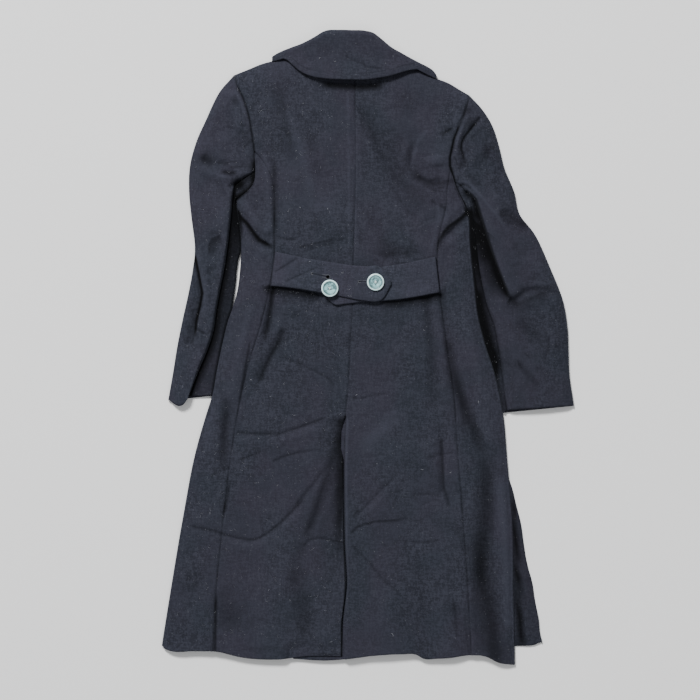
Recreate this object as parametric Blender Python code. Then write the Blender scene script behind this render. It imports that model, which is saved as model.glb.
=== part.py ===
"""A long wool overcoat laid flat on its front, back up, as solids.

X runs to the right, Y towards the collar and Z up from the surface under the coat. Left and right are the
wearer's, which are the viewer's too, because the back is up. All tables and sizes are in millimetres, and the
meshes are made in metres. Each piece of cloth is a wall between two grids of points: one on its face and one
on its back. At the coat's sides, shoulders and sleeve edges the wall rolls over to the underside.
"""

from collections import namedtuple
from math import cos, pi, radians, sin

import bmesh
import bpy
import numpy as np

MM = 0.001

# ---------------------------------------------------------------- cloth, seams and layers
CLOTH = 2.5            # one layer of melton
TWO_PLY = 4.2          # collar and belt: two layers, pressed flat
SEAM = 0.3             # gap between two pieces at a seam
REST = 0.5             # air between a layer and what it lies on
EDGE_HEIGHT = 6.4      # coat's height at a rolled edge: two layers and the air in the fold
ROLL = EDGE_HEIGHT / 2     # radius of the rolled edge
ROLL_STEPS = 4
BACK_HEIGHT = 10.5     # face of the back above the surface, away from edges
SKIRT_LIFT = 1.6       # the skirt's middle stands this much higher, over the vent's extra layer
SKIRT_LIFT_DOWN = (60, 160)        # reached between these distances below the origin
SKIRT_LIFT_LEFT = (-200, -110)     # and between these x on the left
SKIRT_LIFT_RIGHT = (20, 120)       # and on the right
EDGE_SOFTNESS = 16.0   # how far in from an edge the back reaches its full height
ARMPIT_SOFTNESS = 22.0
SIDE_EDGE_STARTS = (225, 285)      # below the armholes the back falls to its side edges, from these y down

# ---------------------------------------------------------------- levels down the body
TOP_LEVEL = 540.0      # rows above the chest bend with the shoulder and neck line
CHEST_LEVEL = 400.0
SKIRT_LEVEL = -460.0   # rows below this bend with the hem
HEM_LEVEL = -555.0
VENT_TOP = -122.0      # the open vent starts here
VENT_UNDER = -126.0    # and the underlap is under the left panel from here
LEVELS = [540, 493, 447, 400, 378, 355, 335, 315, 297, 280, 265, 246, 220, 190, 160, 130, 100, 70, 40, 10, -20,
          -55, -90, -122, -126, -150, -185, -220, -260, -300, -340, -380, -420, -460, -495, -528, -555]
COLUMNS_CENTRE = 8
COLUMNS_SIDE = 3
COLUMNS_FRONT = 3
SIDE_POINT = 5.0       # a side panel's point starts this far below its seam's end at the armhole
POINT_SHARE = 0.4      # in the point the rolled edge takes at most this share of the width

# ---------------------------------------------------------------- seam lines and outline, columns: y, x
SIDE_LEFT = [(265, -237), (235, -233), (215, -230), (136, -230), (100, -235), (75, -242), (46, -252),
             (9, -261), (-44, -272), (-87, -280), (-122, -291), (-185, -309), (-303, -332), (-433, -354),
             (-540, -371), (-560, -374)]
SIDE_RIGHT = [(246, 179), (233, 182), (193, 184), (103, 193), (64, 197), (13, 209), (-50, 229), (-116, 243),
              (-203, 251), (-311, 260), (-455, 263), (-575, 265)]
PRINCESS_LEFT = [(355, -206), (335, -189), (312, -176), (283, -169), (211, -168), (147, -169), (96, -179),
                 (42, -192), (-23, -212), (-109, -232), (-188, -245), (-303, -259), (-447, -273), (-560, -279)]
PRINCESS_RIGHT = [(335, 148.5), (315, 147.5), (283, 143), (255, 141), (208, 130), (165, 125), (98, 130),
                  (13, 141), (-86, 155), (-181, 161), (-293, 170), (-419, 179), (-570, 187)]
CENTRE = [(560, -24), (247, -23), (193, -25), (75, -28), (-5, -32), (-95, -37), (-122, -40), (-195, -43),
          (-347, -42), (-428, -39), (-491, -46), (-570, -46)]
ARMHOLE_LEFT = [(489, -241), (467, -233), (445, -223), (420, -215), (395, -210), (366, -206), (337, -203),
                (316, -202), (294, -206), (282, -215), (273, -226), (265, -237)]
ARMHOLE_RIGHT = [(452, 184), (438, 179), (420, 173), (402, 164), (381, 157), (345, 149), (325, 148),
                 (303, 154), (283, 161), (265, 170), (246, 179)]

# shoulder and neck line, and hems, columns: x, y
SHOULDER = [(-241, 489), (-212, 501), (-190, 510), (-171, 515), (-150, 520), (-122, 531), (-98, 543), (-77, 554),
            (-28, 556), (-5, 555), (13, 550), (22, 543), (44, 525), (76, 507), (95, 497), (119, 485.5),
            (148, 474), (166, 463), (184, 452)]
HEM_LEFT = [(-374, -537), (-360, -544), (-311, -546), (-271, -547), (-228, -557), (-167, -561), (-106, -555),
            (-40, -555)]
HEM_RIGHT = [(-134, -560), (-73, -563), (-44, -561), (13, -554), (60, -551), (92, -554), (177, -552), (213, -556),
             (236, -567), (262, -571)]

# ---------------------------------------------------------------- fronts
LAP_LEFT = -65.0       # the right front's edge, under the left front
LAP_RIGHT = 15.0       # the left front's edge, on the right front
LAP_RAMP = 24.0        # the left front climbs onto the right one over this width
LAP_MARGIN = 3.0       # its ramp ends this far before the right one's edge
BACK_FALLS = (1, 18)   # the back comes down again between these distances past the left front's edge
SKIRT_SHOWS = -225.0   # below this the right front's skirt reaches past the back's edge
SKIRT_STARTS = -190.0  # and from here down to that the back's edge comes to rest on it
FRONT_SKIRT = [(-225, 250), (-253, 260), (-282, 267), (-318, 276), (-354, 281), (-390, 287), (-422, 296),
               (-455, 301), (-491, 308), (-516, 310), (-535, 314)]
FRONT_NECK = [(-260, 0), (-125, 0), (-90, 30), (-65, 75), (15, 75), (40, 30), (75, 0), (260, 0)]   # x, drop
FRONT_INSET = 2.0      # the fronts stay this far inside the back's rolled shoulder and its hem
FRONT_MIDDLE = 60.0
FRONT_HEM = [(-70, -546), (60, -549), (96, -557), (143, -559), (200, -548), (265, -537), (304, -534), (314, -529)]

# ---------------------------------------------------------------- vent
UNDERLAP_EDGE = -134.0
UNDERLAP_MIDDLE = -92.0
UNDERLAP_FACE = [(-134, 6.9), (-92, 7.9), (-70, 8.5), (200, 8.5)]      # columns: x, height of its face
VENT_OPENING = [(-122, 0), (-150, 6), (-180, 6), (-200, 0.5), (-570, 0)]    # columns: y, width of the dark gap
VENT_RISE = 6.0        # the right panel comes up from the underlap over this width
VENT_NEAR = 4.5        # its first points on the risen part
VENT_LAP_DOWN = (-30, -2)      # the left panel is up over the underlap from these distances below its start
VENT_LAP_IN = (-22, -4)        # and from these distances before its edge
UNDERLAP_FOLDED = np.array([0, 1.5, 3.0])     # the underlap's points above the vent, next to the seam
UNDERLAP_TUCK = 0.2            # its last point under the left panel's edge

# ---------------------------------------------------------------- folds
# A fold is a soft ridge (height above 0) or trough along a path. Left and right are its half widths on either
# side of somebody who walks along the path, so that one side can be steep.
Fold = namedtuple("Fold", "path height left right")
BACK_FOLDS = [
    # drags from the armpits down to the belt
    Fold([(-233, 251), (-212, 208), (-197, 193), (-176, 179)], -2.8, 8, 9),
    Fold([(-222, 268), (-197, 228), (-172, 205)], 1.5, 10, 10),
    Fold([(179, 240), (154, 214), (130, 193)], -2.8, 9, 9),
    # upper back
    Fold([(-32, 453), (-7, 413), (15, 366), (37, 301), (54, 269), (94, 226)], -1.7, 14, 14),
    Fold([(-167, 337), (-167, 175)], -1.3, 14, 12),
    Fold([(83, 373), (80, 337), (89, 305), (109, 296), (145, 301)], -2.2, 8, 10),
    Fold([(121, 345), (124, 325)], 1.8, 18, 18),
    Fold([(2, 237), (22, 201), (33, 157)], -1.3, 10, 10),
    # skirt, left of the vent
    Fold([(-176, 96), (-179, 49), (-188, 13)], -2.2, 8, 8),
    Fold([(-151, 31), (-161, 6), (-176, -19), (-190, -44), (-196, -66)], -2.0, 9, 9),
    Fold([(-165, -15), (-115, -33), (-57, -66)], -1.3, 7, 7),
    Fold([(-239, -152), (-163, -156), (-134, -147), (-73, -125)], -1.9, 8, 8),
    Fold([(-307, -323), (-262, -334), (-196, -347), (-160, -318), (-116, -275), (-59, -195)], -2.4, 9, 10),
    Fold([(-106, -332), (-84, -275), (-66, -231)], -1.7, 10, 10),
    Fold([(-118, -359), (-106, -345), (-66, -345)], -1.3, 8, 8),
    Fold([(-131, -400), (-122, -460), (-113, -520)], -2.0, 24, 24),
    Fold([(-246, -440), (-246, -510)], -1.6, 26, 26),
    Fold([(-61, -110), (-61, -420)], -1.6, 16, 18),
    # skirt, right of the vent
    Fold([(-35, -200), (-35, -440)], 1.0, 6, 7),
    Fold([(134, 64), (141, 21), (152, -41), (168, -84), (186, -123), (200, -174)], -2.4, 10, 10),
    Fold([(134, -156), (134, -267)], -1.4, 10, 10),
    Fold([(-28, -332), (-16, -321), (13, -312), (85, -306)], -2.0, 7, 7),
    Fold([(-8, -289), (35, -246), (60, -224)], -1.4, 9, 9),
    Fold([(-26, -357), (6, -390), (28, -419), (64, -458)], -1.4, 9, 9),
    Fold([(199, -275), (203, -420), (206, -554)], -2.8, 18, 18),
    Fold([(236, -275), (240, -550)], 1.6, 12, 14),
    Fold([(157, -462), (171, -520), (179, -545)], -1.6, 10, 10),
]
LEFT_SLEEVE_FOLDS = [
    Fold([(-309, 343), (-273, 330), (-239, 325), (-212, 321)], -2.8, 9, 9),
    Fold([(-245, 462), (-232, 420), (-224, 385)], 1.6, 8, 8),
    Fold([(-239, 441), (-238, 425)], -1.6, 9, 9),
    Fold([(-309, 172), (-302, 130), (-295, 93), (-298, 72), (-306, 45), (-311, 25)], 2.6, 14, 4),
    Fold([(-276, 195), (-276, 170)], -1.6, 10, 10),
]
RIGHT_SLEEVE_FOLDS = [
    Fold([(168, 299), (188, 284), (200, 268), (207, 236), (219, 202), (233, 166), (247, 130), (258, 92)], 4.0, 18, 4),
    Fold([(235, 242), (271, 233), (292, 211)], -2.4, 9, 9),
    Fold([(251, 85), (265, 82), (283, 100), (305, 103), (337, 100)], -2.6, 9, 9),
    Fold([(203, 412), (187, 394), (173, 376), (167, 361), (172, 337), (175, 319)], -2.2, 7, 7),
    Fold([(215, 359), (202, 314)], -1.5, 10, 10),
    Fold([(319, 22), (332, -23)], -1.2, 9, 9),
]

# ---------------------------------------------------------------- sleeves
# A row across the sleeve for each section: outer edge, back seam on the top side, inner edge next to the body
Section = namedtuple("Section", "outer_x outer_y seam_x seam_y inner_x inner_y")
LEFT_SLEEVE = [
    Section(-241, 489, -202, 315, -237, 265),
    Section(-268, 457, -222, 305, -239.5, 263),
    Section(-291, 409, -238, 290, -240, 258),
    Section(-309, 368, -243, 268, -237, 246),
    Section(-320, 325, -245, 243, -233.8, 228),
    Section(-321.5, 280, -248, 215, -231.6, 207),
    Section(-317, 232, -252, 180, -233.5, 180),
    Section(-311, 180, -258, 140, -237, 136),
    Section(-315, 138, -266, 100, -240.5, 100),
    Section(-323, 95, -272, 66, -247, 68),
    Section(-333, 50, -277, 30, -257.5, 30),
    Section(-343, 0, -288, -4, -265.5, -6),
    Section(-350, -44, -304, -42, -274, -44),
    Section(-359, -95, -322, -88, -282.5, -88),
]
RIGHT_SLEEVE = [
    Section(184, 452, 156, 297, 179, 246),
    Section(206, 428, 170, 288, 182.5, 244),
    Section(224, 399, 181, 272, 185.5, 236),
    Section(236, 362, 187.5, 250, 186, 222),
    Section(246, 322, 191, 225, 186, 205),
    Section(263, 281, 194, 198, 186.5, 180),
    Section(273, 240, 198, 165, 189, 152),
    Section(302, 201, 202, 135, 191.6, 122),
    Section(327, 146, 208, 104, 194.5, 95),
    Section(350, 88, 216, 72, 198.5, 64),
    Section(359, 40, 228, 38, 205.5, 32),
    Section(361, 0, 235, 0, 214.5, 0),
    Section(363, -50, 242, -50, 230.3, -50),
    Section(371, -105, 250, -113, 244.5, -118),
]
LEFT_HEAD_LEVELS = [489, 459, 430, 400, 378, 355, 335, 315, 297, 280, 265]     # where both armhole edges have points
RIGHT_HEAD_LEVELS = [452, 434.5, 417, 400, 378, 355, 335, 315, 297, 280, 265, 246]
LEFT_UNDER_LEVELS = [489, 430, 355, 297, 265]       # the same on the underside, tip to armpit
RIGHT_UNDER_LEVELS = [452, 400, 335, 280, 246]
SLEEVE_ROWS = 22
LOW_COLUMNS = 2        # columns of a sleeve's piece on the underside
SLEEVE_HEIGHT = 10.5
SLEEVE_SOFTNESS = 11.0     # how far in from its outer edge a sleeve reaches that height
SEAM_SOFTNESS = {-1: 4.0, 1: 9.0}      # and from its back seam, which is a sharp fold on the left sleeve
HEAD_BOW = [1.0, 0.55, 0.25, 0.08, 0.0]        # how much the first sections follow the armhole's curve
HEAD_TURN = [1.0, 0.55, 0.2]   # and how much its edges point as they do at the armhole
FRONT_SEAM_AT = 0.4    # the sleeve's front seam lies this far from inner to outer edge, on the underside
HEAD_BLEND = 14.0      # the sleeve takes on the body's height over this length
CUFF_DROP_LEFT = 14.0  # the left cuff's rounded fold hangs this much lower than its ends
CUFF_REACH = 1.2       # over this many sections
CUFF_LEAN = 0.8        # lowest a little nearer to the outer edge

# ---------------------------------------------------------------- collar
# A slice across the collar: its x, the y of its lower edge and of its fold, and the roll's depth and height
Slice = namedtuple("Slice", "x low fold depth height")
COLLAR = [
    Slice(-172, 517.8, 523, 2.4, 8.0), Slice(-165, 518, 527.5, 4.0, 9.5), Slice(-154, 519, 533, 5.5, 11.5),
    Slice(-145, 516, 536.5, 7.0, 13.0), Slice(-136, 508, 540, 8.0, 14.0), Slice(-122, 496, 545, 9.0, 15.0),
    Slice(-98, 485.5, 557, 9.0, 16.0), Slice(-77, 482, 569, 9.0, 16.6), Slice(-50, 480.5, 571, 9.0, 17.0),
    Slice(-28, 480, 570.5, 9.0, 17.2), Slice(-5, 480, 569.5, 9.0, 17.0), Slice(13, 482, 564, 9.0, 16.6),
    Slice(22, 483.5, 557, 9.0, 16.2), Slice(44, 488, 539, 9.0, 15.2), Slice(60, 493, 530, 9.0, 14.4),
    Slice(76, 497.5, 521, 8.5, 13.6), Slice(95, 499, 511, 5.5, 12.0), Slice(108, 494.5, 504.5, 4.4, 10.5),
    Slice(119, 488.5, 496.5, 3.4, 9.0), Slice(123.5, 486, 490.5, 2.0, 8.0),
]
COLLAR_SLICES = 30
COLLAR_CROWDING = 0.6  # share of the slices' spacing that crowds them to the collar's ends
COLLAR_LEAF_STEPS = 6
COLLAR_RISE = 1.5      # the leaf rises to the roll with this power of the way
COLLAR_RETURN = 2.5    # how far the cloth comes back under the roll
COLLAR_TIP_RETURN = 0.8
COLLAR_THIN = (0.6, 0.3)       # at the tips the cloth is at most these shares of the roll's depth and height
COLLAR_ON_BACK = 2.0   # it lies on the back where its edge is this far inside the shoulder line

# ---------------------------------------------------------------- half-belt
# A strip across a tab: the ends of it on the upper and the lower edge
Strip = namedtuple("Strip", "top_x top_y low_x low_y")
UPPER_TAB = [
    Strip(-166.5, 172, -174.5, 110), Strip(-147, 168, -158, 109), Strip(-106, 159, -126, 105),
    Strip(-66, 153, -85, 98), Strip(-30, 147.5, -50, 91.5), Strip(0, 145.5, -13, 84.5), Strip(21, 145, 23, 84),
    Strip(42, 119, 42.5, 113),
]
LOWER_TAB = [
    Strip(122, 163, 129.5, 99), Strip(94, 157, 96, 92.5), Strip(67, 151, 62, 87), Strip(41, 147, 26, 83.5),
    Strip(-5, 141, -5, 82), Strip(-41, 138, -41, 78), Strip(-62, 137, -62, 78), Strip(-85, 112, -84, 105),
]
TAB_COLUMNS = 3
TAB_ROWS = 14
TAB_CLIMB = (-122.0, -92.0)    # the upper tab climbs onto the lower one between these x
TAB_REACH = 9.0        # a tab clears the highest point of the back within this distance
COLLAR_REACH = 7.0     # and the collar within this one

# ---------------------------------------------------------------- buttons
BUTTONS = {"button_left": (-68.0, 106.0), "button_right": (14.0, 117.0)}
BUTTON_RADIUS = 15.3
BUTTON_THICK = 4.4
BUTTON_RIM = 3.0
BUTTON_DISH = 1.3
BUTTON_CHAMFER = 1.5
BUTTON_ROUNDING = 0.9
RIM_SLOPE = 0.6
BUTTON_SIDES = 24
HOLE_RADIUS = 1.2
HOLE_SPACING = 3.1     # holes stand this far from the centre
HOLE_SIDES = 8

# ---------------------------------------------------------------- finishes: colour, roughness
NAVY = ((0.030, 0.033, 0.046), 0.93)
NAVY_UNDER = ((0.025, 0.027, 0.038), 0.95)
PEARL = ((0.30, 0.42, 0.42), 0.30)


# ================================================================ curves and heights
def curve(table):
    """A smooth curve through a table's rows, as a function of its first column."""
    rows = np.array(sorted(table), float)
    at, value = rows[:, 0], rows[:, 1:]
    slope = np.gradient(value, at, axis=0)

    def read(s):
        s = np.clip(np.asarray(s, float), at[0], at[-1])
        i = np.clip(np.searchsorted(at, s) - 1, 0, len(at) - 2)
        step = (at[i + 1] - at[i])[..., None]
        f = (s - at[i])[..., None] / step
        result = ((1 + 2 * f) * (1 - f) ** 2 * value[i] + f * (1 - f) ** 2 * step * slope[i]
                  + f * f * (3 - 2 * f) * value[i + 1] + f * f * (f - 1) * step * slope[i + 1])
        return result[..., 0] if result.shape[-1] == 1 else result

    return read


shoulder = curve(SHOULDER)
hem_left = curve(HEM_LEFT)
hem_right = curve(HEM_RIGHT)
underlap_face = curve(UNDERLAP_FACE)


def broken(table, levels):
    """The same curve as straight runs between levels, so that both sides of a seam share its points."""
    smooth = curve(table)
    levels = np.array(sorted(levels), float)
    points = smooth(levels)
    return lambda y: np.interp(y, levels, points)


side_left = broken(SIDE_LEFT, LEVELS)
side_right = broken(SIDE_RIGHT, LEVELS)
princess_left = broken(PRINCESS_LEFT, LEVELS)
princess_right = broken(PRINCESS_RIGHT, LEVELS)
centre = broken(CENTRE, LEVELS)
armhole_left = broken(ARMHOLE_LEFT, LEFT_HEAD_LEVELS)
armhole_right = broken(ARMHOLE_RIGHT, RIGHT_HEAD_LEVELS)
under_armhole_left = broken(ARMHOLE_LEFT, LEFT_UNDER_LEVELS)
under_armhole_right = broken(ARMHOLE_RIGHT, RIGHT_UNDER_LEVELS)
front_skirt = curve(FRONT_SKIRT)
front_hem = curve(FRONT_HEM)


def straight(table):
    """A table's rows joined by straight runs, as a function of its first column."""
    at, value = zip(*sorted(table))
    return lambda s: np.interp(s, at, value)


front_neck = straight(FRONT_NECK)
vent_opening = straight(VENT_OPENING)


def ease(distance, width):
    """0 at an edge, rising to 1 over about two widths."""
    return 1 - np.exp(-np.maximum(distance, 0) / width)


def step(value, start, end):
    """0 before start, 1 after end, smooth between."""
    f = np.clip((value - start) / (end - start), 0, 1)
    return f * f * (3 - 2 * f)


def fold_height(folds, x, y):
    """Sum of a table's ridges and troughs at the points x, y."""
    total = np.zeros(np.broadcast(x, y).shape)
    for fold in folds:
        nearest = np.full(total.shape, 1e9)
        side = np.zeros(total.shape)
        for (ax, ay), (bx, by) in zip(fold.path, fold.path[1:]):
            dx, dy = bx - ax, by - ay
            f = np.clip(((x - ax) * dx + (y - ay) * dy) / (dx * dx + dy * dy), 0, 1)
            distance = np.hypot(x - ax - f * dx, y - ay - f * dy)
            closer = distance < nearest
            nearest = np.where(closer, distance, nearest)
            side = np.where(closer, dx * (y - ay) - dy * (x - ax), side)
        width = np.where(side > 0, fold.left, fold.right)
        total += fold.height * np.exp(-(nearest / width) ** 2)
    return total


def fronts_height(x):
    """Top of the fronts: one layer, or two where they lap."""
    rise = step(x, LAP_LEFT - LAP_RAMP - 2 * LAP_MARGIN, LAP_LEFT - LAP_MARGIN)
    lap = rise * (1 - step(x - LAP_RIGHT, *BACK_FALLS))
    return CLOTH + lap * (CLOTH + SEAM)


def back_height(x, y):
    """Face of the back, above the surface, as if the vent's two panels were one."""
    below_arm = 1 - step(y, *SIDE_EDGE_STARTS)
    from_side = np.minimum(x - side_left(y), side_right(y) - x) - ROLL
    (left_y, left_x), (right_y, right_x) = ARMHOLE_LEFT[-1], ARMHOLE_RIGHT[-1]
    from_armpit = np.minimum(np.hypot(x - left_x, y - left_y), np.hypot(x - right_x, y - right_y))
    crown = 1 - below_arm * (1 - ease(from_side, EDGE_SOFTNESS))
    crown *= ease(shoulder(x) - ROLL - y, EDGE_SOFTNESS) * ease(from_armpit, ARMPIT_SOFTNESS)
    skirt = step(-y, *SKIRT_LIFT_DOWN) * step(x, *SKIRT_LIFT_LEFT) * (1 - step(x, *SKIRT_LIFT_RIGHT))
    height = EDGE_HEIGHT + crown * (BACK_HEIGHT - EDGE_HEIGHT + SKIRT_LIFT * skirt + fold_height(BACK_FOLDS, x, y))
    return np.maximum(height, np.maximum(EDGE_HEIGHT, fronts_height(x) + CLOTH + REST))


def left_back_height(x, y):
    """The left panels' face: over the underlap they stay one layer above it."""
    lap = step(VENT_UNDER - y, *VENT_LAP_DOWN) * step(x - UNDERLAP_EDGE, *VENT_LAP_IN)
    return np.maximum(back_height(x, y), lap * (underlap_face(x) + CLOTH + REST))


def right_back_height(x, y):
    """The right panels' face: it dives under the left panel at the vent."""
    open_vent = step(VENT_TOP - y, 0, VENT_TOP - VENT_UNDER)
    under = 1 - step(x - centre(y), REST, REST + VENT_RISE)
    lifted = back_height(x, y)
    return lifted + open_vent * under * (underlap_face(x) - lifted)


def over(height, x, y, reach):
    """Highest point of a surface near x, y: what a piece that lies on it has to clear."""
    ring = [(0, 0), (reach, 0), (-reach, 0), (0, reach), (0, -reach)]
    return np.max([height(x + dx, y + dy) for dx, dy in ring], axis=0)


# ================================================================ meshes
def finish_material(name, finish):
    """A plain finish with the cloth's or the button's colour."""
    material = bpy.data.materials.new(name)
    material.use_nodes = True
    shader = material.node_tree.nodes["Principled BSDF"]
    colour, roughness = finish
    shader.inputs["Base Color"].default_value = (*colour, 1)
    shader.inputs["Roughness"].default_value = roughness
    shader.inputs["Metallic"].default_value = 0.0
    return material


def make_object(name, bm, finish, smooth_angle=35):
    """Put a mesh in the scene, faces outwards, with its own material."""
    if bm.calc_volume(signed=True) < 0:
        bmesh.ops.reverse_faces(bm, faces=bm.faces)
    mesh = bpy.data.meshes.new(name)
    bm.to_mesh(mesh)
    bm.free()
    mesh.shade_smooth()
    mesh.set_sharp_from_angle(angle=radians(smooth_angle))
    mesh.materials.append(finish_material(name, finish))
    thing = bpy.data.objects.new(name, mesh)
    bpy.context.collection.objects.link(thing)
    return thing


def wall(name, face, back, finish):
    """A closed wall between two grids of points (rows, columns, xyz), in millimetres."""
    rows, columns = face.shape[:2]
    bm = bmesh.new()
    front = [[bm.verts.new(face[i, j] * MM) for j in range(columns)] for i in range(rows)]
    rear = [[bm.verts.new(back[i, j] * MM) for j in range(columns)] for i in range(rows)]
    for i in range(rows - 1):
        for j in range(columns - 1):
            bm.faces.new((front[i][j], front[i][j + 1], front[i + 1][j + 1], front[i + 1][j]))
            bm.faces.new((rear[i][j], rear[i + 1][j], rear[i + 1][j + 1], rear[i][j + 1]))
    rim = [(i, 0) for i in range(rows)] + [(rows - 1, j) for j in range(1, columns)]
    rim += [(i, columns - 1) for i in range(rows - 2, -1, -1)] + [(0, j) for j in range(columns - 2, 0, -1)]
    for (i, j), (k, m) in zip(rim, rim[1:] + rim[:1]):
        bm.faces.new((front[i][j], front[k][m], rear[k][m], rear[i][j]))
    return make_object(name, bm, finish)


def sheet(x, y, height, thick=CLOTH):
    """Face and back grids of a flat-lying sheet: the back is the face moved straight down."""
    face = np.stack([x, y, height], axis=-1)
    return face, face - np.array([0, 0, thick])


def roll(start, outward, turn, bend=1.0, thick=CLOTH, radius=ROLL, steps=ROLL_STEPS):
    """Points of a rolled edge, outer and inner, from the last flat point on.

    Turn is the angle in degrees that the cloth turns through, 180 for all the way under. With bend 0 it goes on
    flat instead, as it does at an armhole.
    """
    start, outward = np.asarray(start, float), np.append(outward, 0.0)
    up = np.array([0, 0, 1.0])
    outer, inner = [], []
    for k in range(1, steps + 1):
        angle = radians(turn) * k / steps
        turned = outward * sin(angle) + up * cos(angle)
        flat = start + outward * radius * k / steps
        outer.append(bend * (start - up * radius + turned * radius) + (1 - bend) * flat)
        inner.append(bend * (start - up * radius + turned * (radius - thick)) + (1 - bend) * (flat - up * thick))
    return np.array(outer), np.array(inner)


# ================================================================ back
# A half's lines, and the y of its shoulder tip, its armpit and the princess seam's end on the armhole
Half = namedtuple("Half", "side armhole princess edge hem height tip armpit split")
LEFT = Half(-1, armhole_left, princess_left, side_left, hem_left, left_back_height,
            ARMHOLE_LEFT[0][0], ARMHOLE_LEFT[-1][0], PRINCESS_LEFT[0][0])
RIGHT = Half(1, armhole_right, princess_right, side_right, hem_right, right_back_height,
             ARMHOLE_RIGHT[0][0], ARMHOLE_RIGHT[-1][0], PRINCESS_RIGHT[0][0])


def bent_level(level, top, hem):
    """The y of a level where a panel's top and hem are at these y: rows bend to both ends."""
    if level > CHEST_LEVEL:
        return CHEST_LEVEL + (level - CHEST_LEVEL) / (TOP_LEVEL - CHEST_LEVEL) * (top - CHEST_LEVEL)
    if level < SKIRT_LEVEL:
        return SKIRT_LEVEL + (level - SKIRT_LEVEL) / (HEM_LEVEL - SKIRT_LEVEL) * (hem - SKIRT_LEVEL)
    return level + 0.0 * top


def line_point(line, level, half):
    """A seam line's point at a level."""
    x = float(line(level))
    top = float(shoulder(x)) if line is centre else half.tip
    y = bent_level(level, top, float(half.hem(x)))
    return np.array([float(line(y)), y])


def row_between(start, end, level, count, half, top_start, top_end):
    """One row from start to end, each inner point bent as the shoulder and the hem are there."""
    spread = np.linspace(0, 1, count + 1)
    points = start + np.outer(spread, end - start)
    top = shoulder(top_start + spread * (top_end - top_start))
    bent = bent_level(level, top, half.hem(points[:, 0]))
    if level > CHEST_LEVEL or level < SKIRT_LEVEL:
        points[1:-1, 1] = bent[1:-1]
    return points


def shoulder_roll(rows, heights):
    """Shorten a panel's top row by the roll, and return the rolled rows above it, from the underside up."""
    outward = np.tile([0.0, 1.0], (rows.shape[1], 1))
    outward[-1] = (rows[0, -1] - rows[1, -1]) / np.linalg.norm(rows[0, -1] - rows[1, -1])
    rows[0] -= outward * ROLL
    heights[0] = EDGE_HEIGHT
    starts = np.column_stack([rows[0], heights[0]])
    rolled = [roll(start, out, 180) for start, out in zip(starts, outward)]
    outer = np.array([r[0] for r in rolled]).transpose(1, 0, 2)[::-1]
    inner = np.array([r[1] for r in rolled]).transpose(1, 0, 2)[::-1]
    return outer, inner


def underlap_points(inner, level):
    """The right panel's innermost points: at the seam above the vent, spread under the left panel below it."""
    if level >= VENT_UNDER:
        x = inner[0] + UNDERLAP_FOLDED
        return np.column_stack([x, np.full(3, inner[1])])
    x = np.array([UNDERLAP_EDGE, UNDERLAP_MIDDLE, inner[0] + UNDERLAP_TUCK])
    return np.column_stack([x, bent_level(level, x, hem_right(x))])


def centre_panel(name, half):
    """A centre back panel: from the centre seam to the armhole and, below its end, to the princess seam."""
    rows = []
    top_outer = float(half.armhole(TOP_LEVEL))
    for level in LEVELS:
        inner = line_point(centre, level, half)
        outer = line_point(half.armhole if level >= half.split else half.princess, level, half)
        inner[0] += half.side * SEAM / 2
        outer[0] -= half.side * SEAM / 2
        if half.side < 0:
            inner[0] -= float(vent_opening(inner[1]))
            rows.append(row_between(inner, outer, level, COLUMNS_CENTRE, half, inner[0], top_outer))
        else:
            near = inner + np.array([VENT_NEAR, 0])
            rest = row_between(near, outer, level, COLUMNS_CENTRE - 1, half, near[0], top_outer)
            rows.append(np.vstack([underlap_points(inner, level), rest]))
    rows = np.array(rows)
    heights = half.height(rows[..., 0], rows[..., 1])
    roll_face, roll_back = shoulder_roll(rows, heights)
    face, back = sheet(rows[..., 0], rows[..., 1], heights)
    return wall(name, np.concatenate([roll_face, face]), np.concatenate([roll_back, back]), NAVY)


def side_panel(name, half):
    """A side back panel: a point at the armhole, then from the princess seam to the rolled side edge."""
    face_rows, back_rows = [], []
    point = half.split - SIDE_POINT
    for level in [point] + [level for level in LEVELS if level < point - 2 * SIDE_POINT]:
        inner = line_point(half.princess, level, half)
        inner[0] += half.side * SEAM / 2
        at_arm = level >= half.armpit
        outer = line_point(half.armhole if at_arm else half.edge, level, half)
        if at_arm:
            outer[0] -= half.side * SEAM / 2
        radius = min(ROLL, POINT_SHARE * abs(outer[0] - inner[0]))
        start = outer - np.array([half.side * radius, 0])
        points = row_between(inner, start, level, COLUMNS_SIDE, half, inner[0], start[0])
        heights = half.height(points[:, 0], points[:, 1])
        if not at_arm:
            heights[-1] = EDGE_HEIGHT
        on_front = float(step(-level, -SKIRT_STARTS, -SKIRT_SHOWS)) if half.side > 0 else 0.0
        flat_face, flat_back = sheet(points[:, 0], points[:, 1], heights)
        roll_face, roll_back = roll(flat_face[-1], (half.side, 0), 180 - 90 * on_front, 0.0 if at_arm else 1.0,
                                    radius=radius)
        face_rows.append(np.vstack([flat_face, roll_face]))
        back_rows.append(np.vstack([flat_back, roll_back]))
    return wall(name, np.array(face_rows), np.array(back_rows), NAVY)


def make_back():
    """Four panels: two at the centre, with the vent between them, and two at the sides."""
    for side, half in (("left", LEFT), ("right", RIGHT)):
        centre_panel(f"back_centre_{side}", half)
        side_panel(f"side_back_{side}", half)


# ================================================================ fronts
def front_edge(half, level):
    """A front's outer edge at a level: inside the back's rolled edge, or the skirt that shows past it."""
    under = under_armhole_left if half.side < 0 else under_armhole_right
    if level >= half.armpit:
        y = bent_level(level, half.tip, 0.0)
        return np.array([float(under(y)) - half.side * SEAM / 2, y])
    y = bent_level(level, 0.0, float(half.hem(half.edge(level))))
    if half.side > 0 and level < SKIRT_SHOWS:
        y = bent_level(level, 0.0, FRONT_SKIRT[-1][0])
        return np.array([float(front_skirt(y)), y])
    return np.array([float(half.edge(y)) - half.side * (ROLL + SEAM), y])


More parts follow.
